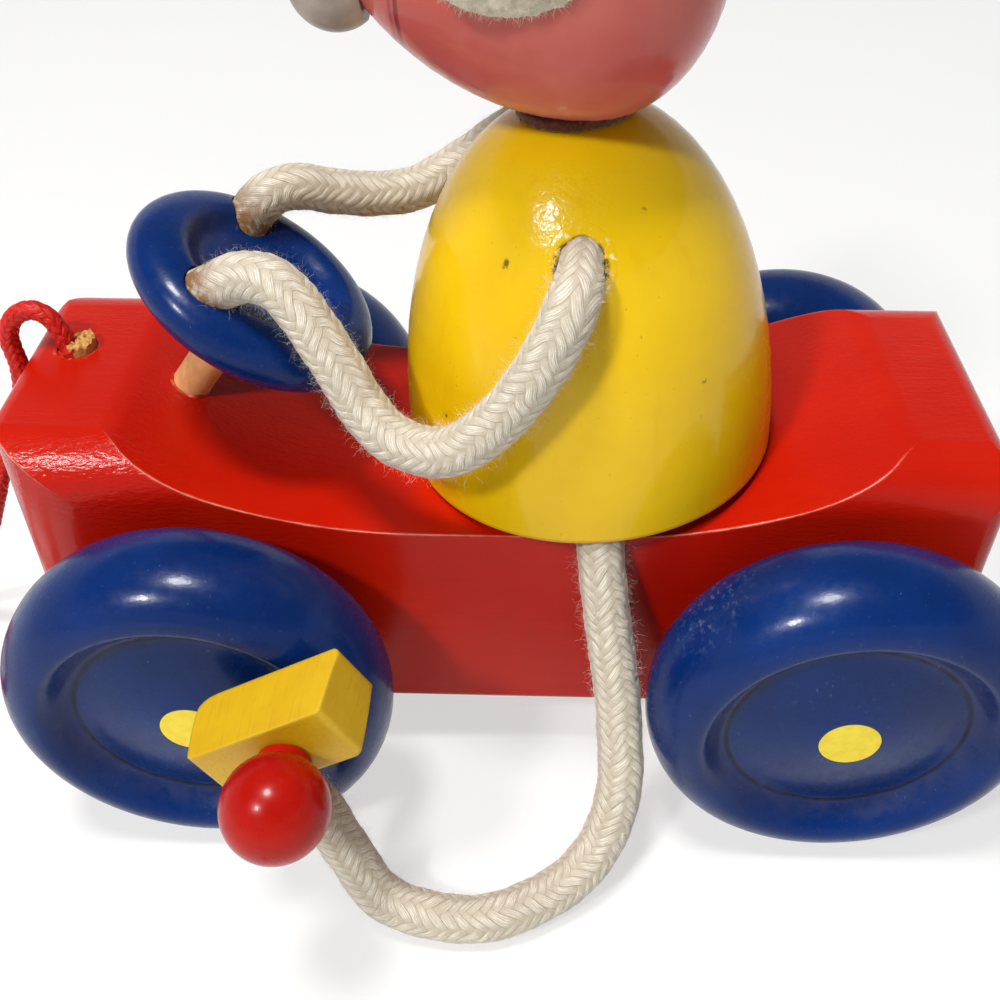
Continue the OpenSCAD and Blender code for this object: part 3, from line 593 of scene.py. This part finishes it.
def add_tie(coil):
    """A twisted thread, twice round all turns of the coil, that keeps them together."""
    out, beside = np.array([0.6, 0.8, 0.0]), np.array([0.8, -0.6, 0.0])
    thick, slack, squareness = 0.8, 0.3, 0.45
    middle = coil.mean(axis=0)
    turns = ((coil - middle) @ out)[np.abs((coil - middle) @ beside) < 2.0]
    turns = turns[turns > 0]
    half = (turns.max() - turns.min()) / 2 + CORD_D / 2 + slack
    centre = middle + out * (turns.max() + turns.min()) / 2
    low, high = 0.45, coil[:, 2].max() + CORD_D / 2 + slack
    q = np.linspace(0, 4 * math.pi, 81)
    across = np.sign(np.cos(q)) * np.abs(np.cos(q)) ** squareness * half
    rise = (low + high) / 2 + np.sign(np.sin(q)) * np.abs(np.sin(q)) ** squareness * (high - low) / 2
    shift = np.linspace(-0.5, 0.5, len(q))[:, None] * beside
    p = centre * np.array([1, 1, 0]) + across[:, None] * out + rise[:, None] * np.array([0, 0, 1.0]) + shift
    line = Line(smooth_route(p, 0.4))
    fine = {**THREAD, "diameter": thick, "around": 16, "relief": 0.08, "lay": 0.6}
    return dress(rope_mesh("coil_tie", line, 0, len(line.p) - 1, **fine), RED_CORD)


def add_knot(centre, way):
    """An overhand knot drawn tight, with a short tail."""
    t = np.linspace(0.35, 2 * math.pi - 0.2, 170)
    side = np.cross([0, 0, 1.0], way)
    up = np.cross(way, side)
    x = np.sin(t) + 2 * np.sin(2 * t)
    y = np.cos(t) - 2 * np.cos(2 * t)
    z = -np.sin(3 * t)
    flat, rise, lowest, drawn_tight = 0.95, 1.9, 2.3, 3.9
    p = centre + flat * (x[:, None] * way + y[:, None] * side) + rise * z[:, None] * up
    p[:, 2] += max(0.0, lowest - p[:, 2].min())
    line = Line(smooth_route(p, SPACING))
    obj = rope_mesh("pull_cord_end", line, 0, len(line.p) - 1, **{**THREAD, "diameter": drawn_tight})
    dress(obj, RED_CORD)
    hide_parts("pull_cord_knot")
    return obj


add_arm("left_arm", LEFT_ARM, 11)
add_arm("right_arm", RIGHT_ARM, 13)
add_leg("left", LEFT_LEG, (25.8, 77.2, 7.8), (39, 71.2, 33), 17)
add_leg("right", RIGHT_LEG, (-17, -54, 30.5), (66, -73, 6), 29)
add_pull_cord()


# Paints and woods

TORSO_LEAN = math.radians(5.036)
TORSO_UP = (math.sin(TORSO_LEAN), 0.0, math.cos(TORSO_LEAN))
TORSO_AT = (-15.7, 0.0, 70.53)
HEAD_AT = (-11.24, 0.0, 166.67)
HEAD_WAY = (0.9993, 0.0, -0.0373)
COLUMN_UP = (-math.sin(COLUMN_TILT), 0.0, math.cos(COLUMN_TILT))
COLUMN_FOOT = (71.9, 0.0, 76.1)
SHOULDERS = ((-10.4, 26.4, 123.7), (-12, -26.2, 124.5))


def gloss(s, color, rough, coat, normal, coat_rough=0.06, specular=0.15):
    return s.finish(color=color, rough=rough, coat=coat, coat_rough=coat_rough, normal=normal, coat_normal=normal,
                    specular=specular)


def red_paint():
    s = Shader("red_paint")
    rounded, edge = s.edges(0.9)
    _, crest = s.edges(0.45)
    slow = s.noise(18.0, 3.0)
    grain = s.noise((30.0, 520.0, 520.0), 4.0)
    pores = s.noise((420.0, 1900.0, 1900.0), 3.0, 0.6)
    tone = s.mix(s.step(slow, 0.35, 0.7), rgb(178, 21, 4), rgb(189, 30, 8))
    tone = s.mix(s.times(s.step(grain, 0.5, 0.75), 0.2), tone, rgb(164, 17, 4))
    x, y, z = s.axes()
    # Paint is thin and chipped on the sharp top edges and round the cord's hole
    worn = s.times(edge, s.step(s.noise(320.0, 4.0), 0.4, 0.66))
    worn = s.times(worn, s.step(z, 0.06, 0.068))
    rim = s.times(s.near((*CORD_HOLE, HOOD_Z), 4.3, 1.2), s.step(s.noise(700.0, 3.0), 0.55, 0.66))
    foot = s.times(s.near((71, 5, 76), 2.5, 4.0), s.step(s.noise((900.0, 500.0, 900.0), 4.0), 0.58, 0.68))
    chips = s.most(s.times(rim, 0.6), s.times(foot, 0.3))
    chips = s.most(s.times(worn, 0.5), chips)
    tone = s.mix(chips, tone, rgb(236, 138, 108))
    # A thin pale line along the near edge of the seat hollow: a painted highlight on that edge
    near_edge = s.times(s.step(z, 0.062, 0.066), s.step(y, 0.02, 0.024))
    line = s.times(s.times(crest, near_edge), s.step(s.noise(90.0, 3.0), 0.3, 0.6, 0.25, 0.8))
    tone = s.mix(line, tone, rgb(250, 176, 152))
    # The near shoulder of the hood has raised grain under the paint, which breaks up its shine
    raised = s.times(s.step(y, 0.020, 0.026), s.step(z, 0.066, 0.072))
    raised = s.times(raised, s.step(x, 0.055, 0.07))
    fleck = s.noise((420.0, 1000.0, 1000.0), 2.0, 0.6)
    height = s.plus(s.times(grain, 0.35), s.times(pores, 0.65))
    height = s.plus(height, s.times(s.times(fleck, raised), 1.8))
    normal = s.bump(height, 0.5, 0.2, rounded)
    return gloss(s, tone, s.step(pores, 0.3, 0.7, 0.16, 0.26), 0.08, normal, 0.1)


def ball_paint():
    """Thicker, darker red on the turned balls and their pins."""
    s = Shader("ball_paint")
    peel = s.noise(520.0, 3.0)
    tone = s.mix(s.step(s.noise(60.0, 3.0), 0.3, 0.7), rgb(158, 12, 3), rgb(174, 20, 6))
    speck = s.step(s.noise(1500.0, 1.0), 0.74, 0.78)
    tone = s.mix(s.times(speck, 0.3), tone, rgb(110, 8, 4))
    return gloss(s, tone, s.step(peel, 0.3, 0.7, 0.22, 0.3), 0.08, s.bump(peel, 0.16, 0.12), 0.1)


def blue_paint():
    s = Shader("blue_paint")
    rounded, _ = s.edges(0.5)
    slow = s.noise(30.0, 3.0)
    peel = s.noise(430.0, 3.0)
    x, _, z = s.axes()
    tone = s.mix(s.step(slow, 0.3, 0.7), rgb(2, 33, 88), rgb(4, 43, 106))
    # Dust in the groove of each wheel, and a thin line of painted shade along the groove, counted from its own axle
    dust = groove_shade = None
    for centre in (FRONT_X, REAR_X):
        flat = s.math("POWER", s.minus(x, centre * MM), 2.0)
        r = s.math("SQRT", s.plus(flat, s.math("POWER", s.minus(z, AXLE_Z * MM), 2.0)))
        ring = s.times(s.step(r, 0.0216, 0.0236), s.step(r, 0.0242, 0.0282, 1.0, 0.0))
        dust = ring if dust is None else s.most(dust, ring)
        line = s.times(s.step(r, 0.0228, 0.0232), s.step(r, 0.0237, 0.0243, 1.0, 0.0))
        groove_shade = line if groove_shade is None else s.most(groove_shade, line)
    below_steering = s.step(z, 0.082, 0.083, 1.0, 0.0)
    dusty = s.times(dust, s.step(s.noise(240.0, 5.0, 0.7), 0.34, 0.66))
    dusty = s.times(dusty, below_steering)
    tone = s.mix(s.times(dusty, 0.2), tone, rgb(96, 84, 84))
    # Painted shade: a thin dark line along each groove, kept off the steering wheel
    groove_shade = s.times(groove_shade, below_steering)
    tone = s.mix(s.times(groove_shade, s.step(peel, 0.3, 0.6, 0.45, 0.8)), tone, rgb(2, 10, 30))
    scuff = s.step(s.noise((1500.0, 160.0, 700.0), 4.0, 0.6), 0.66, 0.72)
    scuff = s.times(scuff, s.step(s.noise(60.0, 2.0), 0.5, 0.66))
    rubbed = s.step(s.noise((1100.0, 600.0, 600.0), 4.0, 0.65), 0.54, 0.64)
    rubbed = s.times(s.near((-36, 46, 64), 5.0, 9.0), rubbed)
    scuff = s.most(s.times(scuff, 0.3), s.times(rubbed, 0.22))
    tone = s.mix(scuff, tone, rgb(126, 144, 180))
    speck = s.step(s.noise(1900.0, 1.0), 0.76, 0.8)
    tone = s.mix(s.times(speck, 0.3), tone, rgb(150, 160, 180))
    brushed = s.plus(peel, s.times(s.noise((900.0, 1600.0, 900.0), 2.0), 0.5))
    normal = s.bump(brushed, 0.22, 0.14, rounded)
    rough = s.plus(s.step(peel, 0.3, 0.7, 0.22, 0.32), s.times(dusty, 0.25))
    return gloss(s, tone, rough, 0.12, normal, 0.1, 0.16)


def yellow_paint():
    s = Shader("yellow_paint")
    rounded, _ = s.edges(0.5)
    slow = s.noise(26.0, 3.0)
    peel = s.noise(380.0, 4.0, 0.6)
    streak = s.noise((260.0, 260.0, 30.0), 4.0)
    tone = s.mix(s.step(slow, 0.3, 0.7), rgb(224, 180, 6), rgb(231, 190, 10))
    tone = s.mix(s.times(s.step(streak, 0.55, 0.75), 0.16), tone, rgb(196, 142, 4))
    # Painted shade: a thin darker band round the foot of the torso, where it sits on the seat
    base = s.step(s.height_over(TORSO_AT, TORSO_UP), 0.0004, 0.0009, 1.0, 0.0)
    tone = s.mix(s.times(base, 0.6), tone, rgb(196, 128, 40))
    ragged = s.noise(900.0, 3.0)
    for point, size in (((2.2, 23.5, 122.6), 0.25), ((2.5, 23.7, 121.9), 0.1), ((-20.9, 20.1, 131.1), 0.05),
                        ((-33.6, 28.7, 102.3), 0.1), ((13.5, 24.5, 90.3), 0.05)):
        chip = s.times(s.near(point, size, 0.75), s.step(ragged, 0.42, 0.54))
        tone = s.mix(s.times(chip, 0.85), tone, rgb(82, 60, 14))
    speck = s.times(s.step(s.noise(1300.0, 1.0), 0.755, 0.79), s.step(s.noise(45.0, 2.0), 0.46, 0.6))
    tone = s.mix(s.times(speck, 0.5), tone, rgb(120, 84, 8))
    for point in SHOULDERS:
        rim = s.near(point, 4.5, 0.8)
        crack = s.times(rim, s.step(ragged, 0.44, 0.52))
        tone = s.mix(s.times(crack, 0.85), tone, rgb(70, 44, 10))
        bare = s.times(s.near(point, 5.6, 1.2), s.step(s.noise(620.0, 3.0), 0.56, 0.62))
        tone = s.mix(s.times(bare, 0.8), tone, rgb(246, 226, 172))
    height = s.plus(peel, s.times(streak, 0.5))
    rough_patch = s.step(s.near((-8, 21, 131), 5.0, 7.0), 0.0, 1.0, 0.14, 0.9)
    normal = s.bump(height, rough_patch, 0.2, rounded)
    return gloss(s, tone, s.step(peel, 0.3, 0.7, 0.2, 0.28), 0.25, normal, 0.04)


def pink_paint():
    s = Shader("pink_paint")
    rounded, _ = s.edges(0.4)
    slow = s.noise(40.0, 4.0)
    peel = s.noise(480.0, 3.0)
    tone = s.mix(s.step(slow, 0.3, 0.7), rgb(178, 80, 72), rgb(192, 102, 93))
    far = s.height_over(HEAD_AT, HEAD_WAY)
    far = s.plus(far, s.math("MULTIPLY_ADD", s.noise(160.0, 3.0), 0.0006, -0.0003))
    for at, wide, strength in ((0.0315, 0.00028, 0.75), (0.0326, 0.0002, 0.45)):
        line = s.step(s.math("ABSOLUTE", s.minus(far, at)), wide, wide + 0.0002, 1.0, 0.0)
        tone = s.mix(s.times(line, strength), tone, rgb(110, 26, 26))
    normal = s.bump(peel, 0.06, 0.12, rounded)
    return gloss(s, tone, s.step(peel, 0.3, 0.7, 0.18, 0.26), 0.12, normal, 0.05)


def grey_paint():
    s = Shader("grey_paint")
    tone = s.mix(s.step(s.noise(120.0, 4.0), 0.35, 0.68), rgb(140, 128, 119), rgb(166, 152, 142))
    peel = s.noise(900.0, 3.0)
    return gloss(s, tone, s.step(peel, 0.3, 0.7, 0.32, 0.44), 0.15, s.bump(peel, 0.08, 0.1), 0.12)


def shoe_paint():
    s = Shader("shoe_paint")
    rounded, edge = s.edges(0.9)
    lines = s.noise((1500.0, 110.0, 1500.0), 4.0, 0.6)
    slow = s.noise(70.0, 3.0)
    tone = s.mix(s.step(slow, 0.3, 0.7), rgb(196, 154, 6), rgb(206, 166, 12))
    tone = s.mix(s.times(s.step(lines, 0.5, 0.74), 0.4), tone, rgb(176, 126, 6))
    tone = s.mix(s.times(edge, 0.25), tone, rgb(226, 194, 60))
    normal = s.bump(lines, 0.3, 0.14, rounded)
    return s.finish(color=tone, rough=s.step(lines, 0.3, 0.7, 0.42, 0.56), coat=0.08, coat_rough=0.3, normal=normal,
                    specular=0.4)


def bare_wood():
    """Plain beech. The ends of the axles are painted yellow."""
    s = Shader("bare_wood")
    y = s.axes()[1]
    grain = s.noise((700.0, 60.0, 260.0), 5.0, 0.6)
    fleck = s.step(s.noise((1600.0, 300.0, 500.0), 3.0), 0.6, 0.7)
    tone = s.mix(s.step(grain, 0.3, 0.7), rgb(214, 154, 98), rgb(230, 176, 118))
    tone = s.mix(s.times(fleck, 0.25), tone, rgb(180, 120, 72))
    end = s.step(s.math("ABSOLUTE", y), 0.0585, 0.0592)
    yellow = s.mix(s.step(s.noise(500.0, 3.0), 0.3, 0.7), rgb(232, 204, 20), rgb(242, 218, 40))
    tone = s.mix(end, tone, yellow)
    # Red paint has crept a little way up the column
    up = s.height_over(COLUMN_FOOT, COLUMN_UP)
    crept = s.step(s.plus(up, s.times(s.noise(420.0, 3.0), -0.0030)), -0.0004, 0.0004, 1.0, 0.0)
    crept = s.times(crept, s.near(COLUMN_FOOT, 7.0, 1.0))
    tone = s.mix(s.times(crept, 0.85), tone, rgb(170, 52, 22))
    return s.finish(color=tone, rough=s.step(grain, 0.3, 0.7, 0.42, 0.55), normal=s.bump(grain, 0.2, 0.1),
                    specular=0.4, coat=0.1, coat_rough=0.3)


def split_wood():
    """Broken wood, with red paint in what is left of the hole."""
    s = Shader("split_wood")
    grain = s.noise((1500.0, 1500.0, 200.0), 5.0, 0.65)
    spots = s.noise(900.0, 4.0)
    tone = s.mix(s.step(grain, 0.3, 0.7), rgb(176, 122, 62), rgb(212, 164, 96))
    tone = s.mix(s.times(s.step(spots, 0.56, 0.7), 0.5), tone, rgb(120, 76, 30))
    painted = s.plus(s.near((92.4, -5, 85), 4.0, 0.6), s.math("MULTIPLY_ADD", spots, 0.8, -0.4))
    tone = s.mix(s.step(painted, 0.35, 0.65), rgb(176, 24, 8), tone)
    return s.finish(color=tone, rough=0.7, normal=s.bump(grain, 0.6, 0.3), specular=0.25)


def felt():
    s = Shader("felt")
    wool = s.noise(1600.0, 4.0, 0.7)
    tone = s.mix(s.step(wool, 0.3, 0.7), rgb(54, 22, 12), rgb(112, 58, 36))
    return s.finish(color=tone, rough=0.95, normal=s.bump(wool, 0.7, 0.4), sheen=0.4, specular=0.1)


def plush():
    s = Shader("plush")
    tuft = s.noise(520.0, 4.0, 0.65)
    slow = s.noise(60.0, 2.0)
    tone = s.mix(s.step(tuft, 0.28, 0.7), rgb(166, 156, 134), rgb(216, 208, 188))
    tone = s.mix(s.times(slow, 0.3), tone, rgb(170, 166, 158))
    return s.finish(color=tone, rough=0.95, normal=s.bump(tuft, 0.8, 0.6), sheen=0.6, specular=0.1)


def eye_black():
    s = Shader("eye_black")
    tone = s.mix(s.noise(300.0, 3.0), rgb(8, 8, 9), rgb(22, 21, 22))
    return s.finish(color=tone, rough=s.step(s.noise(800.0, 3.0), 0.3, 0.7, 0.08, 0.14), coat=0.6, coat_rough=0.04)


PAINTS = {"red_paint": red_paint(), "blue_paint": blue_paint(), "yellow_paint": yellow_paint(),
          "pink_paint": pink_paint(), "grey_paint": grey_paint(), "shoe_paint": shoe_paint(),
          "bare_wood": bare_wood(), "eye_black": eye_black(), "felt": felt(), "plush": plush(),
          "limb_rope": ROPE, "red_cord": RED_CORD}
WEARS = {
    "red_paint": ["car_body"],
    "blue_paint": ["front_left_wheel", "front_right_wheel", "rear_left_wheel", "rear_right_wheel", "steering_wheel"],
    "yellow_paint": ["torso"],
    "pink_paint": ["head"],
    "grey_paint": ["nose"],
    "shoe_paint": ["left_shoe", "right_shoe"],
    "bare_wood": ["front_axle", "rear_axle", "steering_column", "torso_dowel", "neck_dowel", "nose_dowel", "cord_peg"],
    "eye_black": ["left_eye", "right_eye"],
    "felt": ["neck_washer"],
    "plush": ["left_ear", "right_ear"],
    "limb_rope": ["left_leg_rope", "right_leg_rope", "left_arm_rope", "right_arm_rope"],
    "red_cord": ["pull_cord", "pull_cord_coil", "pull_cord_knot"]}
for slot_name, members in WEARS.items():
    for member in members:
        dress(NODES[member], PAINTS[slot_name])
BALL_RED = ball_paint()
for member in ("left_crank_pin", "right_crank_pin", "left_pedal_ball", "right_pedal_ball"):
    dress(NODES[member], BALL_RED)


def soften(obj, limit=40.0):
    """Even out the normals where faces meet at less than the limit, so that turned wood shows no bands."""
    mesh = obj.data
    points = np.zeros(len(mesh.vertices) * 3, np.float32)
    mesh.vertices.foreach_get("co", points)
    corners = np.zeros(len(mesh.loops), np.int32)
    mesh.loops.foreach_get("vertex_index", corners)
    normals = np.zeros(len(mesh.loops) * 3, np.float32)
    mesh.corner_normals.foreach_get("vector", normals)
    normals = normals.reshape(-1, 3)
    same_place = 0.002 * MM
    _, place = np.unique(np.round(points.reshape(-1, 3)[corners] / same_place), axis=0, return_inverse=True)
    order = np.argsort(place.ravel(), kind="stable")
    starts = np.flatnonzero(np.diff(place.ravel()[order])) + 1
    even = normals.copy()
    for group in np.split(order, starts):
        own = normals[group]
        ways = np.unique(np.round(own, 3), axis=0)
        if len(ways) > 1:
            close = (own @ ways.T) > math.cos(math.radians(limit))
            even[group] = close.astype(float) @ ways
    even /= np.maximum(np.linalg.norm(even, axis=1), 1e-9)[:, None]
    mesh.normals_split_custom_set([tuple(n) for n in even])


for turned in ("head", "torso", "nose", "left_pedal_ball", "right_pedal_ball", *WEARS["blue_paint"]):
    soften(NODES[turned])


# Soft and rough pieces made from their CAD shapes

def fine_copy(node, name, voxel):
    """The CAD shape with small even faces, its points and its normals, in metres."""
    mesh = NODES[node].data.copy()
    work = bmesh.new()
    work.from_mesh(mesh)
    bmesh.ops.remove_doubles(work, verts=work.verts, dist=1e-6)
    work.to_mesh(mesh)
    work.free()
    obj = bpy.data.objects.new(name, mesh)
    SCENE.collection.objects.link(obj)
    change = obj.modifiers.new("even", "REMESH")
    change.mode, change.voxel_size = "VOXEL", voxel * MM
    bpy.context.view_layer.update()
    shown = bpy.data.meshes.new_from_object(obj.evaluated_get(bpy.context.evaluated_depsgraph_get()))
    obj.modifiers.clear()
    obj.data = shown
    shown.polygons.foreach_set("use_smooth", [True] * len(shown.polygons))
    points = np.zeros(len(shown.vertices) * 3, np.float32)
    normals = points.copy()
    shown.vertices.foreach_get("co", points)
    shown.vertices.foreach_get("normal", normals)
    return obj, points.reshape(-1, 3).astype(float), normals.reshape(-1, 3).astype(float)


def add_ear(side, seed):
    obj, points, normals = fine_copy(f"{side}_ear", f"{side}_ear_plush", 0.55)
    tuft = np.array([noise.noise(Vector(p) * 620) + 0.6 * noise.noise(Vector(p) * 1500) for p in points])
    # The glued side faces the head, and keeps its place
    outer = np.sign(points[:, 1].mean()) * normals[:, 1]
    free = np.clip((outer + 0.75) / 0.5, 0, 1)
    moved = points + normals * (free * (0.25 + 0.42 * tuft))[:, None] * MM
    move_points(obj, moved)
    dress(obj, PAINTS["plush"])
    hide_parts(f"{side}_ear")
    rng = np.random.default_rng(seed)
    fibres = 6000
    pick = rng.choice(np.flatnonzero(free > 0.7), fibres)
    spread = rng.normal(0, 0.3, (len(pick), 3))
    roots = moved[pick] / MM + spread - normals[pick] * 0.35
    sides = np.cross(normals[pick], rng.normal(0, 1, (len(pick), 3)))
    sides /= np.linalg.norm(sides, axis=1)[:, None]
    pile = hairs(f"{side}_ear_pile", roots, normals[pick], sides, seed=seed + 1, **EAR_FIBRE)
    dress(pile, PILE)
    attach(obj, "car")
    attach(pile, "car")


add_ear("left", 61)
add_ear("right", 67)


def add_washer():
    obj, points, normals = fine_copy("neck_washer", "neck_felt", 0.35)
    rough = np.array([noise.noise(Vector(p) * 900) for p in points])
    mid_x, covered = -0.0107, 0.0075
    out = np.hypot(points[:, 0] - mid_x, points[:, 1]) > covered
    moved = points + normals * (out * 0.22 * rough)[:, None] * MM
    move_points(obj, moved)
    dress(obj, PAINTS["felt"])
    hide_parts("neck_washer")
    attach(obj, "car")


add_washer()


def add_shoulder_lip(side, route):
    """A thick edge of paint round the shoulder's hole, which closes on the rope."""
    mesh = NODES["torso"].data
    surface = BVHTree.FromPolygons([v.co for v in mesh.vertices], [p.vertices for p in mesh.polygons])
    start, mouth = np.array(route[0]), np.array(route[1])
    axis = (mouth - start) / np.linalg.norm(mouth - start)
    u = np.cross(axis, [0, 0, 1.0])
    u /= np.linalg.norm(u)
    v = np.cross(axis, u)
    points, n = [], 72
    edge_r, outer_r = 5.6, 6.6
    for k in range(n):
        q = 2 * math.pi * k / n
        out = math.cos(q) * u + math.sin(q) * v

        def depth(r):
            place, _, _, _ = surface.ray_cast(Vector((mouth + r * out + 25 * axis) * MM), Vector(-axis))
            return (np.array(place) / MM - mouth) @ axis

        edge = depth(edge_r)
        slope = (edge - depth(outer_r)) / (outer_r - edge_r)
        inner = 4.15 + 0.14 * math.sin(3 * q + 0.6) + 0.1 * math.sin(7 * q)
        section = [(outer_r, depth(outer_r) - 0.1), (6.1, depth(6.1) + 0.05)]
        section += [(r, edge + slope * (edge_r - r) + lift) for r, lift in ((5.5, 0.12), (4.8, 0.08), (inner, -0.2))]
        section += [(inner, edge + slope * (edge_r - inner) - 1.5), (edge_r, edge - 1.2)]
        section += [(outer_r, depth(outer_r) - 0.6)]
        points += [mouth + r * out + d * axis for r, d in section]
    obj = new_mesh(f"{side}_shoulder_lip", np.array(points) * MM, ring_faces(n, len(section)))
    outward(obj)
    dress(obj, PAINTS["yellow_paint"])
    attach(obj, "car")


def add_peg():
    """A split chip of wood that fills the hole behind the cord, with a broken top."""
    hole, cord = np.array(CORD_HOLE), np.array(CORD_AT)
    outer_r, inner_r = 4.08, 2.15
    wide, deep = 40, 7
    swing = np.linspace(-2.75, 2.75, wide)
    points, faces = [], []
    for level in (71.0, 83.0, None):
        for t in swing:
            way = np.array([-math.cos(t), math.sin(t)])
            outer, inner = hole + outer_r * way, cord + inner_r * way
            for v in np.linspace(0, 1, deep):
                q = outer + (inner - outer) * v
                z = level
                if level is None:
                    rough = noise.noise(Vector((q[0] * 0.9, q[1] * 0.9, 3.0)))
                    splinter = noise.noise(Vector((q[0] * 2.6, q[1] * 1.3, 9.0)))
                    chip = max(0.0, 1 - (t / 2.1) ** 4)
                    z = 84.35 + chip * (2.2 + 1.1 * rough + 0.7 * splinter)
                points.append((q[0], q[1], z))

    def at(row, i, v):
        return (row * wide + i) * deep + v

    for i in range(wide - 1):
        for v in range(deep - 1):
            faces.append((at(2, i, v), at(2, i, v + 1), at(2, i + 1, v + 1), at(2, i + 1, v)))
            faces.append((at(0, i, v), at(0, i + 1, v), at(0, i + 1, v + 1), at(0, i, v + 1)))
    for row in (0, 1):
        for i in range(wide - 1):
            faces.append((at(row, i, 0), at(row + 1, i, 0), at(row + 1, i + 1, 0), at(row, i + 1, 0)))
            e = deep - 1
            faces.append((at(row, i, e), at(row, i + 1, e), at(row + 1, i + 1, e), at(row + 1, i, e)))
        for v in range(deep - 1):
            e = wide - 1
            faces.append((at(row, 0, v), at(row, 0, v + 1), at(row + 1, 0, v + 1), at(row + 1, 0, v)))
            faces.append((at(row, e, v), at(row + 1, e, v), at(row + 1, e, v + 1), at(row, e, v + 1)))
    obj = new_mesh("cord_chip", np.array(points) * MM, faces, smooth=False)
    outward(obj)
    # The middle level is only needed on the outside
    work = bmesh.new()
    work.from_mesh(obj.data)
    bmesh.ops.delete(work, geom=[v for v in work.verts if not v.link_faces], context="VERTS")
    work.to_mesh(obj.data)
    work.free()
    dress(obj, split_wood())
    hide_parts("cord_peg")
    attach(obj, "car")


add_peg()
add_shoulder_lip("left", LEFT_ARM)
add_shoulder_lip("right", RIGHT_ARM)


def seat_height(x):
    """Height of the seat hollow: flat in the middle, then an arc to each side."""
    middle, half_flat, bottom, arc = 2, 18, 67, 110
    d = max(0.0, abs(x - middle) - half_flat)
    return bottom + arc - math.sqrt(arc * arc - d * d)


def add_column_foot():
    """A soft fillet of red paint where the column goes into the body."""
    way = np.array([math.sin(COLUMN_TILT), 0, -math.cos(COLUMN_TILT)])
    side, over = np.array([0, 1.0, 0]), np.array([math.cos(COLUMN_TILT), 0, math.sin(COLUMN_TILT)])
    column_top, column_r, sunk = np.array([52.8, 0, 102.5]), 3.98, 0.05
    points, m, n = [], 7, 64
    for k in range(n):
        q = 2 * math.pi * k / n
        out = math.cos(q) * over + math.sin(q) * side
        p = column_top + column_r * out
        for _ in range(200):
            gap = p[2] - seat_height(p[0])
            if gap <= 0.02:
                break
            p = p + way * max(0.02, gap * 0.5)
        size = 0.45 + 0.12 * math.sin(3 * q + 1) + 0.08 * math.sin(7 * q)
        for j in range(m - 1):
            t = j / (m - 2)
            flat = p + out * size * 1.2 * t * t - way * size * 1.6 * (1 - t) ** 2
            if t > 0:
                seat = seat_height(flat[0]) - sunk
                flat[2] = max(flat[2], seat) if t < 1 else seat
            points.append(flat)
        points.append(p + way * 0.8)
    obj = new_mesh("column_foot", np.array(points) * MM, ring_faces(n, m))
    outward(obj)
    dress(obj, PAINTS["red_paint"])
    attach(obj, "car")


add_column_foot()


# Floor and light

def add_floor():
    s = Shader("floor")
    tone = s.mix(s.noise(6.0, 3.0), (0.93, 0.93, 0.927, 1), (0.96, 0.96, 0.957, 1))
    s.finish(color=tone, rough=0.6, specular=0.2)
    # Seen directly or as a reflection, the floor is nearly white, and it keeps the shadow
    path = s.add("ShaderNodeLightPath").outputs
    seen = s.most(path["Is Glossy Ray"], path["Is Transmission Ray"])
    seen = s.most(path["Is Camera Ray"], seen)
    own_light = 0.65
    white = s.add("ShaderNodeEmission")
    s.put(white.inputs["Color"], tone)
    blend = s.add("ShaderNodeMixShader")
    for index, value in ((0, s.times(seen, own_light)), (1, s.bsdf.outputs[0]), (2, white.outputs[0])):
        s.put(blend.inputs[index], value)
    s.put(s.tree.nodes["Material Output"].inputs["Surface"], blend.outputs[0])
    # A flat floor whose far edge sweeps up into a wall all round
    profile = [(0.5, 0), (1.2, 0), (2.0, 0), (2.4, 0.04), (2.75, 0.18), (3.0, 0.45), (3.1, 0.9), (3.12, 1.6)]
    n = 96
    turn = 2 * math.pi / n
    points = [(0, 0, 0)] + [(r * math.cos(turn * k), r * math.sin(turn * k), z) for r, z in profile for k in range(n)]
    faces = [(0, 1 + k, 1 + (k + 1) % n) for k in range(n)]
    for row in range(len(profile) - 1):
        low, high = 1 + row * n, 1 + (row + 1) * n
        faces += [(low + k, high + k, high + (k + 1) % n, low + (k + 1) % n) for k in range(n)]
    obj = new_mesh("floor", points, faces)
    obj.data.materials.append(s.material)


LAMP_COLOR, LAMP_TARGET = (1.0, 0.985, 0.96), (0, 0, 0.08)


def add_light(name, place, size, power):
    data = bpy.data.lights.new(name, "AREA")
    data.shape, data.size, data.energy, data.color = "SQUARE", size, power, LAMP_COLOR
    obj = bpy.data.objects.new(name, data)
    obj.location = place
    obj.rotation_mode = "QUATERNION"
    obj.rotation_quaternion = (Vector(LAMP_TARGET) - Vector(place)).to_track_quat("-Z", "Y")
    SCENE.collection.objects.link(obj)


add_floor()
add_light("key", (0.22, 0.16, 1.37), 0.24, 14.5)
add_light("second", (0.58, 0.72, 1.0), 0.14, 9.5)

world = bpy.data.worlds.new("world")
SCENE.world = world
world.use_nodes = True
sky = world.node_tree.nodes["Background"].inputs
sky["Color"].default_value = (0.95, 0.97, 1.0, 1)
sky["Strength"].default_value = 0.2
SCENE.view_settings.view_transform = "Standard"
SCENE.view_settings.look = "None"
